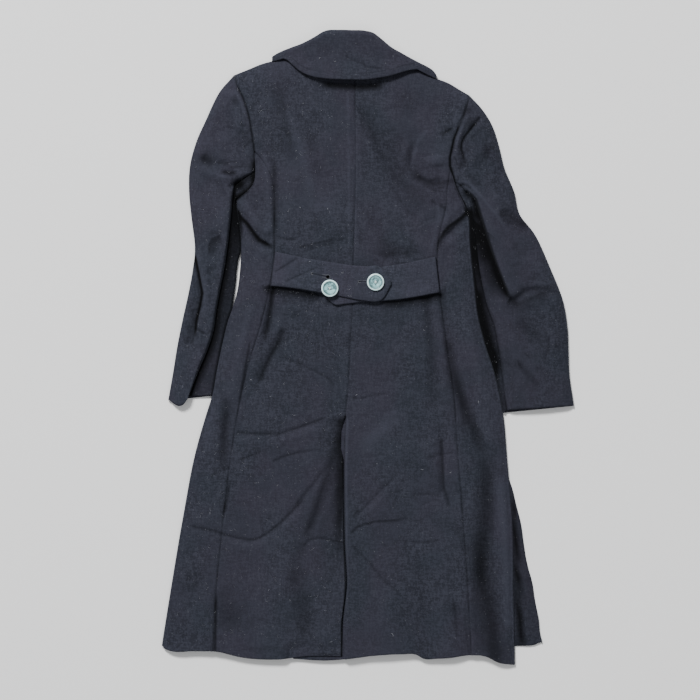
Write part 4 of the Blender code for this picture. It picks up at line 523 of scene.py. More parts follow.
RIGHT_SLEEVE = [
    Section(184, 452, 156, 297, 179, 246),
    Section(206, 428, 170, 288, 182.5, 244),
    Section(224, 399, 181, 272, 185.5, 236),
    Section(236, 362, 187.5, 250, 186, 222),
    Section(246, 322, 191, 225, 186, 205),
    Section(263, 281, 194, 198, 186.5, 180),
    Section(273, 240, 198, 165, 189, 152),
    Section(302, 201, 202, 135, 191.6, 122),
    Section(327, 146, 208, 104, 194.5, 95),
    Section(350, 88, 216, 72, 198.5, 64),
    Section(359, 40, 228, 38, 205.5, 32),
    Section(361, 0, 235, 0, 214.5, 0),
    Section(363, -50, 242, -50, 230.3, -50),
    Section(371, -105, 250, -113, 244.5, -118),
]
SLEEVE_HEIGHT = 13.0
SLEEVE_SOFTNESS = 11.0
SEAM_SOFTNESS = {-1: 1.6, 1: 7.0}
SEAM_RIDGE = {-1: 3.0, 1: 0.0}
HEAD_BOW = [1.0, 0.55, 0.25, 0.08, 0.0]
HEAD_TURN = [1.0, 0.55, 0.2, 0.0]
FRONT_SEAM_AT = 0.4
HEAD_BLEND = 14.0
CUFF_DROP = {-1: 14.0, 1: 0.0}
CUFF_REACH = 1.2
CUFF_LEAN = 0.8
TURN_STEPS = 21             # a sleeve's length in steps of HEAD_TURN
SEAM_RIDGE_DOWN = (0.10, 0.3)
SEAM_RIDGE_AT, SEAM_RIDGE_WIDTH = 5, 15
# painted shade in the armhole seam, as a share of a seam's
HEAD_DARK = 1.2
# share of an edge's painted shade that is left at the end of its roll
ROLLED_DARK = 0.6
SLEEVE_ROWS = 320
SLEEVE_COLUMNS = {-1: (64, 30), 1: (88, 30)}            # of the top side and of the under piece
LOW_COLUMNS = 24                                        # of each half of the underside
LOW_SPLIT = 0.52            # the underside's seam starts at this share of the armhole's height
LOW_WHOLE = 10
UNDER_WAVES = 0.5
ARMHOLE_POINTS = 240

# ---------------------------------------------------------------- collar
# Slices across it: x, the y of the lower edge and of the fold, and the roll's depth and height
Slice = namedtuple("Slice", "x low fold depth height")
COLLAR = [
    Slice(-172, 517.8, 523, 2.4, 8.0), Slice(-165, 518, 527.5, 4.0, 9.5), Slice(-154, 519, 533, 5.5, 11.5),
    Slice(-145, 516, 536.5, 7.0, 13.0), Slice(-136, 508, 540, 8.0, 14.0), Slice(-122, 496, 545, 9.0, 15.0),
    Slice(-98, 485.5, 557, 9.0, 16.0), Slice(-77, 482, 569, 9.0, 16.6), Slice(-50, 480.5, 571, 9.0, 17.0),
    Slice(-28, 480, 570.5, 9.0, 17.2), Slice(-5, 480, 569.5, 9.0, 17.0), Slice(13, 482, 564, 9.0, 16.6),
    Slice(22, 483.5, 557, 9.0, 16.2), Slice(44, 488, 539, 9.0, 15.2), Slice(60, 493, 530, 9.0, 14.4),
    Slice(76, 497.5, 521, 8.5, 13.6), Slice(95, 499, 511, 5.5, 12.0), Slice(108, 494.5, 504.5, 4.4, 10.5),
    Slice(119, 488.5, 496.5, 3.4, 9.0), Slice(123.5, 486, 490.5, 2.0, 8.0),
]
COLLAR_RISE = 1.5
COLLAR_RETURN = 2.5
COLLAR_TIP_RETURN = 0.8
COLLAR_THIN = (0.6, 0.3)
COLLAR_ON_BACK = 2.0
COLLAR_REACH = 7.0
COLLAR_CROWDING = 0.6
COLLAR_STANDS = [(-172, 0), (-130, 2.0), (-90, 5.5), (-30, 7.0), (40, 6.0), (90, 2.0), (124, 0)]    # x, height
COLLAR_SLICES = 200
COLLAR_COLUMNS = 56
COLLAR_ROLL_STEPS = 18
COLLAR_STANDS_REACH = 26
COLLAR_ROLLS_FROM = 0.75            # share of the leaf
COLLAR_WAVES, COLLAR_WAVES_AT = 0.7, 300
COLLAR_TURNED = (0.6, -1.2, 0.8)    # height over the allowance, and where it ends round its width
COLLAR_TURNED_RUN = 30
COLLAR_ROUND = 0.45                 # at most this share of the thickness
COLLAR_GROOVE = (0.28, 0.4, 1.1)    # painted shade, place and width of the groove beyond the allowance
LEAF_REACH = 500
COLLAR_FOLDS = [
    Fold([(-43, 525), (-20, 513), (1, 503), (29, 499)], -1.4, 3, 4, 1, (10, 10)),
    Fold([(-70, 548), (-64, 520)], -1.0, 9, 9),
    Fold([(0, 556), (18, 530)], 0.9, 12, 12),
    Fold([(-120, 525), (-100, 505)], -0.8, 8, 8),
    Fold([(60, 515), (45, 500)], -0.7, 7, 7),
]
COLLAR_TIP_LAPS = 1.0       # the tips' lower edge lies this far inside the shoulder line
COLLAR_TURNING = 11.0       # width of the allowance turned in along its edge

# ---------------------------------------------------------------- half-belt
Strip = namedtuple("Strip", "top_x top_y low_x low_y")
UPPER_TAB = [
    Strip(-166.5, 172, -174.5, 110), Strip(-147, 168, -158, 109), Strip(-106, 159, -126, 105),
    Strip(-66, 153, -85, 98), Strip(-30, 147.5, -50, 91.5), Strip(0, 145.5, -13, 84.5), Strip(21, 145, 23, 84),
    Strip(42, 119, 42.5, 113),
]
LOWER_TAB = [
    Strip(122, 163, 129.5, 99), Strip(94, 157, 96, 92.5), Strip(67, 151, 62, 87), Strip(41, 147, 26, 83.5),
    Strip(-5, 141, -5, 82), Strip(-41, 138, -41, 78), Strip(-62, 137, -62, 78), Strip(-85, 112, -84, 105),
]
TAB_CLIMB = (-122.0, -92.0)
TAB_REACH = 9.0
TAB_GRID = (190, 60)        # points along and across
TAB_WAVES, TAB_WAVES_AT = 0.45, 200
TAB_CURL_REACH, TAB_CURL_FROM = 14, 12
TAB_PUFF, TAB_PUFF_FROM = 0.5, (1.0, 8.0)
TAB_LOW_DROP, TAB_LOW_REACH = 1.1, 5
TAB_BACK_ROUND = 1.7
TAB_GROOVE = (0.28, 1.4)    # painted shade and width of the seam at its end
# share of the belt folds' trough shade that is painted
TAB_FOLD_DARK = 0.6
BELT_FOLDS = [
    Fold([(-168, 134), (-145, 148), (-122, 163)], -1.7, 2, 4, 1, (4, 8)),
    Fold([(-150, 117), (-118, 131), (-89, 144)], -1.6, 2, 4, 1, (8, 10)),
    Fold([(-40, 128), (-30, 104)], -0.6, 8, 8),
    Fold([(88, 140), (96, 118)], -0.6, 8, 8),
]
LINT = [(356.6, 395, 3.4), (422, 469, 4.2), (392, 634, 7), (478.5, 402, 4.5), (450, 472, 3.5), (251, 380, 3.6),
        (259, 438, 3.2), (210, 513, 3.4), (320, 59, 3.4), (335, 62, 3.2), (300, 208, 3.4), (328, 209, 3),
        (296, 151, 2.8), (310, 262, 3), (424, 330, 2.8), (290, 600, 2.8)]      # picture x, y and length in mm
BUTTONHOLES = {"left": ((-101, 132.5), (-71.5, 126.2)), "right": ((-17, 118), (12, 117))}      # far end, eyelet
EYELET_RADIUS = 3.0
SLOT = (-1.4, 0.8, 0.8, 2, (0, 0))                      # a buttonhole's slot as a fold: height, widths, form, fade
SLOT_LIPS = (0.6, 3.0, 3.0, 2, (6, 0))
# painted shade in the slot; then the eyelet's depth, share of its radius, painted shade and sharpness
SLOT_DARK = (0.25, 0.6, 0.6, 2, (0, 0))
EYELET_DEPTH, EYELET_SHARE, EYELET_DARK, EYELET_SHARP = 3.4, 0.9, 1.2, 6
BELT_CURL = [(-180, 1.0), (-160, 2.6), (-120, 2.0), (-70, 0.3), (20, 0.2), (60, 1.4), (100, 2.4), (130, 1.4)]

# ---------------------------------------------------------------- buttons
BUTTONS = {"button_left": (-68.0, 106.0, 0.35), "button_right": (14.0, 117.0, 0.85)}     # x, y, turn
BUTTON_RADIUS = 15.3
BUTTON_THICK = 4.4
BUTTON_SIDES = 96
HOLE_RADIUS = 1.05
RIM_WIDTH = 2.3         # width of the button's paler rim
HOLE_SPACING = 3.1
HOLE_SIDES = 28
BUTTON_ROUND = 1.7      # radius of its rounded edges
BUTTON_RIM = 3.4        # its dish starts this far inside its edge,
DISH_DEPTH = 1.5
DISH_SLOPE = 1.6        # falls over this width from a little outside,
DISH_OUTSIDE = 0.4
BOWL_DEPTH = 0.45       # and is hollow in the middle
BOWL_INSIDE = 0.6
BUTTON_SHARP = 38       # degrees
RIM_BLEND = 0.9
RIM_LINE = (2, 1.1)     # place and width of a painted shade line inside the rim, at the foot of the dish

# ---------------------------------------------------------------- thread, stitches and lint
STRANDS, STRAND_SPACING, STRAND_POINTS, STRAND_RADIUS, STRAND_SIDES = 5, 0.34, 13, 0.24, 6
STRAND_SUNK = 1.9           # below the button's top,
STRAND_LIFT = (0.55, 0.35, 0.9)                         # lift of all strands, of the upper pair, of their middle
STRAND_DIVE, STRAND_DIVES_AT, STRAND_DIVES_OVER = 1.6, 0.86, 0.14       # into the holes
STRAND_NARROWS = 0.25
PURL_TURN, PURL_POINTS, PURL_OUTSIDE, PURL_SIDE, PURL_SUNK = 0.78, 15, 1.0, 1.6, 0.1
PURL_BEAD = (0.5, 1.15, 0.45)
LINT_TURN, LINT_FIRST_TURN = 2.4, 0.5
LINT_BOW, LINT_ABOVE, LINT_POINTS, LINT_RADIUS, LINT_SIDES = 0.9, 0.35, 6, 0.36, 6
SURFACE_NEAR = 3            # the surface at a point is as high as the highest of the grids' points this near to it
STREWN_LENGTH, STREWN_SIZES = 3.6, (0.45, 1.7)          # of a strewn fibre, and how many times it
STREWN_THICK = 0.021        # its radius, as a share of its length
STREWN_EXCESS = 4.0         # of the density, which the noise then thins
PURL_SIZES = (0.85, 1.15)

# ---------------------------------------------------------------- picture
PIXEL = 1.8                            # millimetres of the coat in one pixel of the 700-pixel picture
PICTURE = 700
ORIGIN_PIXEL = (367.7, 347.4)          # where the frame's origin lies in the picture
CAMERA_HEIGHT = 6.0                    # metres, like the places and sizes of the lamps and the floor
LAMPS = [("key", (-2.7, 5.5, 5.7), 2.2, 1090.0), ("fill", (1.4, -3.2, 3.2), 2.4, 36.0)]    # place, size, power
SKY, SKY_STRENGTH = (0.97, 0.985, 1.0, 1), 0.40
FLOOR_SIZE, FLOOR_BELOW = 9.0, 0.0003


# ================================================================ sizes and colours that a user would change
class CoatCloth(bpy.types.PropertyGroup):
    """The melton."""
    colour: bpy.props.FloatVectorProperty(name="Navy", description="Colour of the wool", subtype="COLOR",
                                          size=3, min=0, max=1, default=(0.0211, 0.0226, 0.0316))
    thickness: bpy.props.FloatProperty(name="Thickness", description="One layer of cloth", unit="LENGTH",
                                       min=0.001, max=0.004, default=0.0025)
    nap: bpy.props.FloatProperty(name="Nap", description="Depth of the brushed surface", unit="LENGTH",
                                 min=0, max=0.002, default=0.0008)
    sheen: bpy.props.FloatProperty(name="Sheen", description="Soft light caught by the fibre ends",
                                   subtype="FACTOR", min=0, max=1, default=0.07)
    folds: bpy.props.FloatProperty(name="Folds", description="Depth of the creases, 1 as worn",
                                   subtype="FACTOR", min=0, max=2, default=1.0)
    lint: bpy.props.IntProperty(name="Lint", description="Number of pale fibres caught on the wool",
                                min=0, max=4000, default=1100)
    fibre: bpy.props.FloatVectorProperty(name="Fibre", description="Colour of the lint", subtype="COLOR",
                                         size=3, min=0, max=1, default=(0.17, 0.175, 0.20))


class CoatTrim(bpy.types.PropertyGroup):
    """Buttons and thread."""
    pearl: bpy.props.FloatVectorProperty(name="Pearl", description="Colour of the buttons", subtype="COLOR",
                                         size=3, min=0, max=1, default=(0.20, 0.39, 0.41))
    thread: bpy.props.FloatVectorProperty(name="Thread", description="Colour of the sewing thread",
                                          subtype="COLOR", size=3, min=0, max=1, default=(0.55, 0.68, 0.69))
    purl: bpy.props.FloatVectorProperty(name="Purl", description="Colour of the buttonholes' stitches",
                                        subtype="COLOR", size=3, min=0, max=1, default=(0.050, 0.053, 0.066))
    stitch: bpy.props.FloatProperty(name="Stitch", description="Spacing of the buttonholes' stitches",
                                    unit="LENGTH", min=0.0005, max=0.01, default=0.0010)


class CoatStage(bpy.types.PropertyGroup):
    """Floor and light."""
    floor: bpy.props.FloatVectorProperty(name="Floor", description="Colour of the surface under the coat",
                                         subtype="COLOR", size=3, min=0, max=1, default=(0.90, 0.90, 0.90))
    light: bpy.props.FloatProperty(name="Light", description="Strength of the soft light, 1 as photographed",
                                   subtype="FACTOR", min=0, max=4, default=1.0)


# ================================================================ curves
def curve(table):
    """A smooth curve through a table's rows, as a function of its first column."""
    rows = np.array(sorted(table), float)
    at, value = rows[:, 0], rows[:, 1:]
    slope = np.gradient(value, at, axis=0)

    def read(s):
        s = np.clip(np.asarray(s, float), at[0], at[-1])
        i = np.clip(np.searchsorted(at, s) - 1, 0, len(at) - 2)
        gap = (at[i + 1] - at[i])[..., None]
        f = (s - at[i])[..., None] / gap
        result = ((1 + 2 * f) * (1 - f) ** 2 * value[i] + f * (1 - f) ** 2 * gap * slope[i]
                  + f * f * (3 - 2 * f) * value[i + 1] + f * f * (f - 1) * gap * slope[i + 1])
        return result[..., 0] if result.shape[-1] == 1 else result

    return read


def straight(table):
    """A table's rows joined by straight runs, as a function of its first column."""
    at, value = zip(*sorted(table))
    return lambda s: np.interp(s, at, value)


def ease(distance, width):
    """0 at an edge, rising to 1 over about two widths."""
    return 1 - np.exp(-np.maximum(distance, 0) / width)


def step(value, start, end):
    """0 before start, 1 after end, smooth between."""
    f = np.clip((value - start) / (end - start), 0, 1)
    return f * f * (3 - 2 * f)


def length_of(vectors):
    """Lengths along the last axis."""
    return np.linalg.norm(vectors, axis=-1)


def crowd(lengths, count):
    """Distances along rows of these lengths: close together at both ends, even in between."""
    lengths = np.atleast_1d(np.asarray(lengths, float))
    near = EDGE_STOPS * np.minimum(1, EDGE_SHARE * lengths / EDGE_STOPS[-1])[:, None]
    inner = np.linspace(0, 1, count - 2 * len(EDGE_STOPS) + 3)[1:-1]
    middle = near[:, -1:] + inner * (lengths[:, None] - 2 * near[:, -1:])
    return np.concatenate([near, middle, lengths[:, None] - near[:, ::-1]], axis=1)


shoulder, hem_left, hem_right = curve(SHOULDER), curve(HEM_LEFT), curve(HEM_RIGHT)
side_left, side_right = curve(SIDE_LEFT), curve(SIDE_RIGHT)
princess_left, princess_right = curve(PRINCESS_LEFT), curve(PRINCESS_RIGHT)
centre = curve(CENTRE)
armhole_left, armhole_right = curve(ARMHOLE_LEFT), curve(ARMHOLE_RIGHT)
front_skirt, front_hem = curve(FRONT_SKIRT), curve(FRONT_HEM)
front_neck, vent_opening = straight(FRONT_NECK), straight(VENT_OPENING)
underlap_face = curve(UNDERLAP_FACE)
collar_stands, belt_curl = straight(COLLAR_STANDS), straight(BELT_CURL)


# ================================================================ relief of the cloth
def relief(folds, x, y):
    """Sum of a table's ridges and troughs at the points x, y, and the shade painted in its troughs."""
    total = np.zeros(np.broadcast(x, y).shape)
    dark = total.copy()
    for fold in folds:
        reach = FOLD_CUTOFF * max(fold.left, fold.right)
        path = np.array(fold.path, float)
        low, high = path.min(axis=0) - reach, path.max(axis=0) + reach
        near = (x > low[0]) & (x < high[0]) & (y > low[1]) & (y < high[1])
        if not near.any():
            continue
        px, py = x[near], y[near]
        nearest, side, along, run = np.full(px.shape, 1e9), np.zeros(px.shape), np.zeros(px.shape), 0.0
        for (ax, ay), (bx, by) in zip(path, path[1:]):
            dx, dy = bx - ax, by - ay
            span = np.hypot(dx, dy)
            f = np.clip(((px - ax) * dx + (py - ay) * dy) / span ** 2, 0, 1)
            distance = np.hypot(px - ax - f * dx, py - ay - f * dy)
            closer = distance < nearest
            nearest = np.where(closer, distance, nearest)
            side = np.where(closer, dx * (py - ay) - dy * (px - ax), side)
            along = np.where(closer, run + f * span, along)
            run += span
        first, last = fold.fade
        taper = (step(along, 0, first) if first else 1.0) * (step(run - along, 0, last) if last else 1.0)
        width = np.where(side > 0, fold.left, fold.right)
        total[near] += fold.height * taper * np.exp(-(nearest / width) ** fold.form)
        # painted shade in the trough
        if fold.height < 0:
            narrow, darkness = TROUGH_DARK[fold.form]
            deep = min(TROUGH_DARKEST, -fold.height * darkness)
            dark[near] += deep * taper * np.exp(-(nearest / (narrow * width)) ** 2)
    return total, dark


def fold_height(folds, x, y):
    """The relief's height alone."""
    return relief(folds, x, y)[0]


def placed(table):
    """A table whose paths are in the picture's pixels, in millimetres."""
    return [fold._replace(path=[((px - ORIGIN_PIXEL[0]) * PIXEL, (ORIGIN_PIXEL[1] - py) * PIXEL)
                                for px, py in fold.path]) for fold in table]


def wrinkles(key):
    """Short creases as folds: uneven in place, length, depth and bend."""
    folds = []
    for seed, count, (x0, y0, x1, y1), angle, spread in WRINKLES[key]:
        draw = np.random.default_rng(seed)
        for _ in range(count):
            x, y, turn = draw.uniform(x0, x1), draw.uniform(y0, y1), radians(angle + draw.normal() * spread)
            length, bow = draw.uniform(*WRINKLE_LENGTH), draw.uniform(*WRINKLE_BOW)
            along, across = np.array([cos(turn), sin(turn)]), np.array([-sin(turn), cos(turn)])
            path = [(x, y) + along * length * t + across * bow * 4 * t * (1 - t) for t in (0, 0.3, 0.65, 1)]
            folds.append(Fold(path, -draw.uniform(*WRINKLE_DEPTH), draw.uniform(*WRINKLE_LEFT),
                              draw.uniform(*WRINKLE_RIGHT), 1, (length * WRINKLE_FADE, length * WRINKLE_FADE)))
    return folds


def waviness(x, y):
    """Slow unevenness of fulled wool: crossed waves of unequal length, none lined up with another."""
    total = np.zeros(np.broadcast(x, y).shape)
    for k in range(WAVES):
        turn, wave = WAVE_TURN * k, WAVE_LENGTH + WAVE_LONGER * k
        bend = WAVE_BEND * np.sin((x * sin(turn) - y * cos(turn)) / (wave * WAVE_BEND_LENGTH) + k)
        along = x * cos(turn) + y * sin(turn) + bend
        total += WAVE_HEIGHT * (1 + WAVE_HIGHER * k) * np.sin(2 * pi * along / wave + WAVE_SHIFT * k)
    return total


def pucker(along):
    """How tightly a seam is drawn in along its length, 0 to 1."""
    return sum((share * np.sin(along / wave + shift) for share, wave, shift in PUCKERS), 0.5)


def seam_relief(distance, along):
    """Height at a distance from a seam: a narrow uneven groove, then the allowance pressed open under the face."""
    least, added, width = GROOVE
    groove = -(least + added * pucker(along)) * np.exp(-(distance / width) ** 2)
    return groove + PRESSED * step(distance, *PRESSED_FROM) * (1 - step(distance, *PRESSED_TO))


def seam_shade(distance, along):
    """Shade painted in a seam's groove."""
    least, added, width = GROOVE_DARK
    return (least + added * pucker(along)) * np.exp(-(distance / width) ** 2)


def rounded(distance, radius):
    """How far a rounded edge has dropped at a distance from its end."""
    inside = np.clip(distance, 0, radius)
    return radius - np.sqrt(radius ** 2 - (radius - inside) ** 2)


def fronts_height(x):
    """Top of the fronts: one layer, or two where they lap."""
    cloth = cloth_thickness()
    rise = step(x, LAP_LEFT - LAP_RAMP - 2 * LAP_MARGIN, LAP_LEFT - LAP_MARGIN)
    return cloth + rise * (1 - step(x - LAP_RIGHT, *BACK_FALLS)) * (cloth + SEAM)


BACK_WRINKLES = wrinkles("back")


def back_height(x, y):
    """Face of the back above the surface, as if the vent's two panels were one."""
    below_arm = 1 - step(y, *SIDE_EDGE_STARTS)
    from_side = np.minimum(x - side_left(y), side_right(y) - x) - ROLL
    (left_y, left_x), (right_y, right_x) = ARMHOLE_LEFT[-1], ARMHOLE_RIGHT[-1]
    from_armpit = np.minimum(np.hypot(x - left_x, y - left_y), np.hypot(x - right_x, y - right_y))
    crown = 1 - below_arm * (1 - ease(from_side, EDGE_SOFTNESS))
    crown = crown * ease(shoulder(x) - ROLL - y, EDGE_SOFTNESS) * ease(from_armpit, ARMPIT_SOFTNESS)
    skirt = step(-y, *SKIRT_LIFT_DOWN) * step(x, *SKIRT_LIFT_LEFT) * (1 - step(x, *SKIRT_LIFT_RIGHT))
    uneven = cloth_folds() * fold_height(BACK_FOLDS + BACK_WRINKLES, x, y) + waviness(x, y)
    by_lap = step(x, *LAP_HEM_FROM) * (1 - step(x, *LAP_HEM_TO))
    uneven -= by_lap * LAP_HEM_SINKS * np.exp(-((y - LAP_HEM_Y) / LAP_HEM_REACH) ** 2)
    height = EDGE_HEIGHT + crown * (BACK_HEIGHT - EDGE_HEIGHT + SKIRT_LIFT * skirt + uneven)
    return np.maximum(height, np.maximum(EDGE_HEIGHT, fronts_height(x) + cloth_thickness() + REST))


def left_back_height(x, y):
    """The left panels' face: over the underlap they stay one layer above it."""
    lap = step(VENT_UNDER - y, *VENT_LAP_DOWN) * step(x - UNDERLAP_EDGE, *VENT_LAP_IN)
    return np.maximum(back_height(x, y), lap * (underlap_face(x) + cloth_thickness() + REST))


def right_back_height(x, y):
    """The right panels' face: it dives under the left panel at the vent."""
    open_vent = step(VENT_TOP - y, 0, VENT_TOP - VENT_UNDER)
    under = 1 - step(x - centre(y), REST, REST + VENT_RISE)
    lifted = back_height(x, y)
    return lifted + open_vent * under * (underlap_face(x) - lifted)


def back_face(x, y):
    """The back's face on both sides of the centre."""
    return np.where(x < centre(y), left_back_height(x, y), right_back_height(x, y))


def back_shade(x, y):
    """Shade painted in the back's hollows, and highlight painted on its ridges."""
    folds = cloth_folds()
    shade = folds * (relief(BACK_FOLDS + BACK_WRINKLES, x, y)[1] + fold_height(placed(BACK_SHADES), x, y))
    high = fold_height([fold for fold in BACK_FOLDS if fold.height > PAINTED_LIGHT_FROM], x, y)
    raised = np.clip(folds * high / PAINTED_LIGHT_HEIGHT, 0, PAINTED_LIGHT_MOST)
    return np.clip(shade, 0, DARKEST), np.clip(-shade, 0, 1) + raised


def over(height, x, y, reach):
    """Highest point of a surface near x, y: what a piece that lies on it has to clear."""
    ring = [(0, 0), (reach, 0), (-reach, 0), (0, reach), (0, -reach)]
    return np.max([height(x + dx, y + dy) for dx, dy in ring], axis=0)


def cloth_thickness():
    """One layer, in millimetres."""
    return bpy.context.scene.coat_cloth.thickness / MM


def cloth_folds():
    """How deep the folds are, 1 as worn."""
    return bpy.context.scene.coat_cloth.folds


# ================================================================ finishes
class Value:
    """A number in a material, so that shader maths reads as sums."""

    def __init__(self, finish, socket):
        self.finish, self.socket = finish, socket

    def _sum(self, operation, first, second):
        node = self.finish.nodes.new("ShaderNodeMath")
        node.operation = operation
        for entry, value in zip(node.inputs, (first, second)):
            self.finish.feed(entry, value)
        return Value(self.finish, node.outputs[0])

    def __add__(self, other):
        return self._sum("ADD", self, other)

    def __mul__(self, other):
        return self._sum("MULTIPLY", self, other)

    def __sub__(self, other):
        return self._sum("SUBTRACT", self, other)

    def __rsub__(self, other):
        return self._sum("SUBTRACT", other, self)

    def __pow__(self, other):
        return self._sum("POWER", self, other)

    __radd__, __rmul__ = __add__, __mul__


class Finish:
    """A material and its nodes."""

    def __init__(self, name):
        self.material = bpy.data.materials.new(name)
        self.material.use_nodes = True
        self.tree = self.material.node_tree
        self.nodes = self.tree.nodes
        self.nodes.clear()
        self.place = self.make("ShaderNodeTexCoord", output="Object")

    def feed(self, entry, value):
        """Link a value to a socket, or set it."""
        if isinstance(value, Value):
            self.tree.links.new(value.socket, entry)
        else:
            entry.default_value = value

    def make(self, kind, settings=None, inputs=None, output=0):
        """A node with its settings, then the values or links of its sockets."""
        node = self.nodes.new(kind)
        for name, value in (settings or {}).items():
            if name == "stops":
                self.set_stops(node.color_ramp, value)
            else:
                setattr(node, name, value)
        for name, value in (inputs or {}).items():
            self.feed(node.inputs[name], value)
        return Value(self, node.outputs[output])

    @staticmethod
    def set_stops(ramp, stops):
        """A colour ramp's stops, as (position, grey or colour)."""
        while len(ramp.elements) < len(stops):
            ramp.elements.new(0.5)
        for element, (position, colour) in zip(ramp.elements, stops):
            element.position = position
            element.color = (*colour, 1) if isinstance(colour, tuple) else (colour, colour, colour, 1)

    def noise(self, size, detail=2.0, rough=0.5, seed=0.0, stretch=(1, 1, 1)):
        """Noise with features of this size in metres, around 0.5."""
        moved = self.make("ShaderNodeMapping", inputs={"Vector": self.place, "Location": (seed, seed * 0.7, 0),
                                                       "Scale": stretch})
        return self.make("ShaderNodeTexNoise", inputs={"Vector": moved, "Scale": 1 / size, "Detail": detail,
                                                       "Roughness": rough}, output="Fac")

    def ramp(self, value, low, high):
        """0 below low, 1 above high."""
        return self.make("ShaderNodeMapRange", {"interpolation_type": "SMOOTHSTEP"},
                         {"Value": value, "From Min": low, "From Max": high, "To Min": 0.0, "To Max": 1.0})

    def mix(self, factor, first, second):
        """Two colours mixed."""
        node = self.nodes.new("ShaderNodeMix")
        node.data_type = "RGBA"
        for entry, value in zip((node.inputs[0], node.inputs[6], node.inputs[7]), (factor, first, second)):
            self.feed(entry, (*value, 1) if isinstance(value, tuple) and len(value) == 3 else value)
        return Value(self, node.outputs[2])

    def surface(self, inputs, bump=None, depth=0.0):
        """End the material in one shader, with an optional bump of a depth in metres."""
        if bump is not None:
            inputs["Normal"] = self.make("ShaderNodeBump", inputs={"Height": bump, "Distance": depth,
                                                                   "Strength": 1.0}, output="Normal")
        shader = self.make("ShaderNodeBsdfPrincipled", inputs=inputs)
        end = self.nodes.new("ShaderNodeOutputMaterial")
        self.tree.links.new(shader.socket, end.inputs["Surface"])
        return self.material


def scaled(colour, factor):
    """A colour made lighter or darker."""
    return tuple(min(1.0, channel * factor) for channel in colour)


def melton(name, shade=1.0, seed=0.0):
    """Fulled navy wool: a matt felt of fibres, mottled, with paler kemp and a soft nap."""
    cloth = bpy.context.scene.coat_cloth
    # shade makes this piece's copy of the wool lighter or darker: light and shade painted on the whole piece
    navy = scaled(tuple(cloth.colour), shade)
    finish = Finish(name)
    fibre = finish.noise(0.0026, 1, 0.6, seed)
    weft = finish.noise(0.0036, 1, 0.7, seed + 3, (0.30, 1, 1))
    warp = finish.noise(0.0036, 1, 0.7, seed + 7, (1, 0.28, 1))
    nap = finish.noise(0.0070, 1, 0.6, seed + 5)
    mottle = finish.noise(0.042, 1, 0.4, seed + 9)
    blotch = finish.noise(0.095, 1, 0.4, seed + 13, (1, 0.45, 1))
    cool = finish.noise(0.060, 1, 0.4, seed + 17)
    grain = fibre * 0.38 + weft * 0.27 + warp * 0.27 + nap * 0.08
    tone = finish.ramp(grain, 0.41, 0.60)
    colour = finish.mix(tone, scaled(navy, 0.80), scaled(navy, 1.46))
    colour = finish.mix(finish.ramp(mottle, 0.36, 0.64) * 0.22, colour, scaled(navy, 1.45))
    colour = finish.mix(finish.ramp(blotch, 0.40, 0.60) * 0.42, colour,
                        (navy[0] * 1.36, navy[1] * 1.14, navy[2] * 1.22))
    colour = finish.mix(finish.ramp(cool, 0.44, 0.66) * 0.24, colour,
                        (navy[0] * 0.78, navy[1] * 0.98, navy[2] * 0.94))
    # painted shade: hollows, seams and pockets are darkened towards black
    valley = finish.make("ShaderNodeAttribute", {"attribute_name": "valley"}, output="Fac")
    dark = 1 - (1 - valley) ** 1.75
    colour = finish.mix(dark * 0.98, colour, scaled(navy, 0.03))
    # painted highlight: raised cloth and the shade tables' entries below 0 are lightened
    ridge = finish.make("ShaderNodeAttribute", {"attribute_name": "ridge"}, output="Fac")
    colour = finish.mix(ridge * 0.95, colour, scaled(navy, 2.0))
    kemp = finish.ramp(finish.noise(0.0026, 1, 0.5, seed + 21), 0.70, 0.77)
    colour = finish.mix(kemp * finish.ramp(nap, 0.46, 0.60) * 0.42, colour, (0.15, 0.155, 0.17))
    height = grain * 0.8 + mottle * 0.5
    return finish.surface({"Base Color": colour, "Roughness": 0.92 - 0.06 * tone, "Specular IOR Level": 0.08,
                           "Sheen Weight": cloth.sheen, "Sheen Roughness": 0.45,
                           "Sheen Tint": (0.62, 0.66, 0.80, 1)}, height, cloth.nap)


# ================================================================ meshes
def mesh_from(bm, name):
    """The mesh of a bmesh that is then let go."""
    mesh = bpy.data.meshes.new(name)
    bm.to_mesh(mesh)
    bm.free()
    return mesh


def linked(name, data):
    """An object in the scene."""
    thing = bpy.data.objects.new(name, data)
    bpy.context.collection.objects.link(thing)
    return thing


def evaluated(thing):
    """A new mesh of an object with its modifiers."""
    return bpy.data.meshes.new_from_object(thing.evaluated_get(bpy.context.evaluated_depsgraph_get()))


def finished(name, mesh, material, smooth=60):
    """A piece from its mesh: smooth, with its finish, on the coat's body."""
    mesh.shade_smooth()
    mesh.set_sharp_from_angle(angle=radians(smooth))
    mesh.materials.append(material)
    piece = linked(name, mesh)
    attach(piece, "root")
    return piece


def close_outwards(mesh):
    """Turn a closed mesh the right way round."""
    bm = bmesh.new()
    bm.from_mesh(mesh)
    if bm.calc_volume(signed=True) < 0:
        bmesh.ops.reverse_faces(bm, faces=bm.faces)
    bm.to_mesh(mesh)
    bm.free()


def thin_out(count, first, last):
    """Every third of a grid's rows or columns, and all of those at its two ends."""
    middle = np.arange(first, max(first, count - last), THINNED)
    return np.unique(np.concatenate([np.arange(first), middle, np.arange(max(first, count - last), count)]))


def around(index):
    """A grid's outline, as the indices of its points in order."""
    return np.concatenate([index[:, 0], index[-1, 1:], index[-2::-1, -1], index[0, -2:0:-1]])


def quads(index):
    """A grid's faces."""
    corner = [index[:-1, :-1], index[:-1, 1:], index[1:, 1:], index[1:, :-1]]
    return np.stack(corner, axis=-1).reshape(-1, 4)


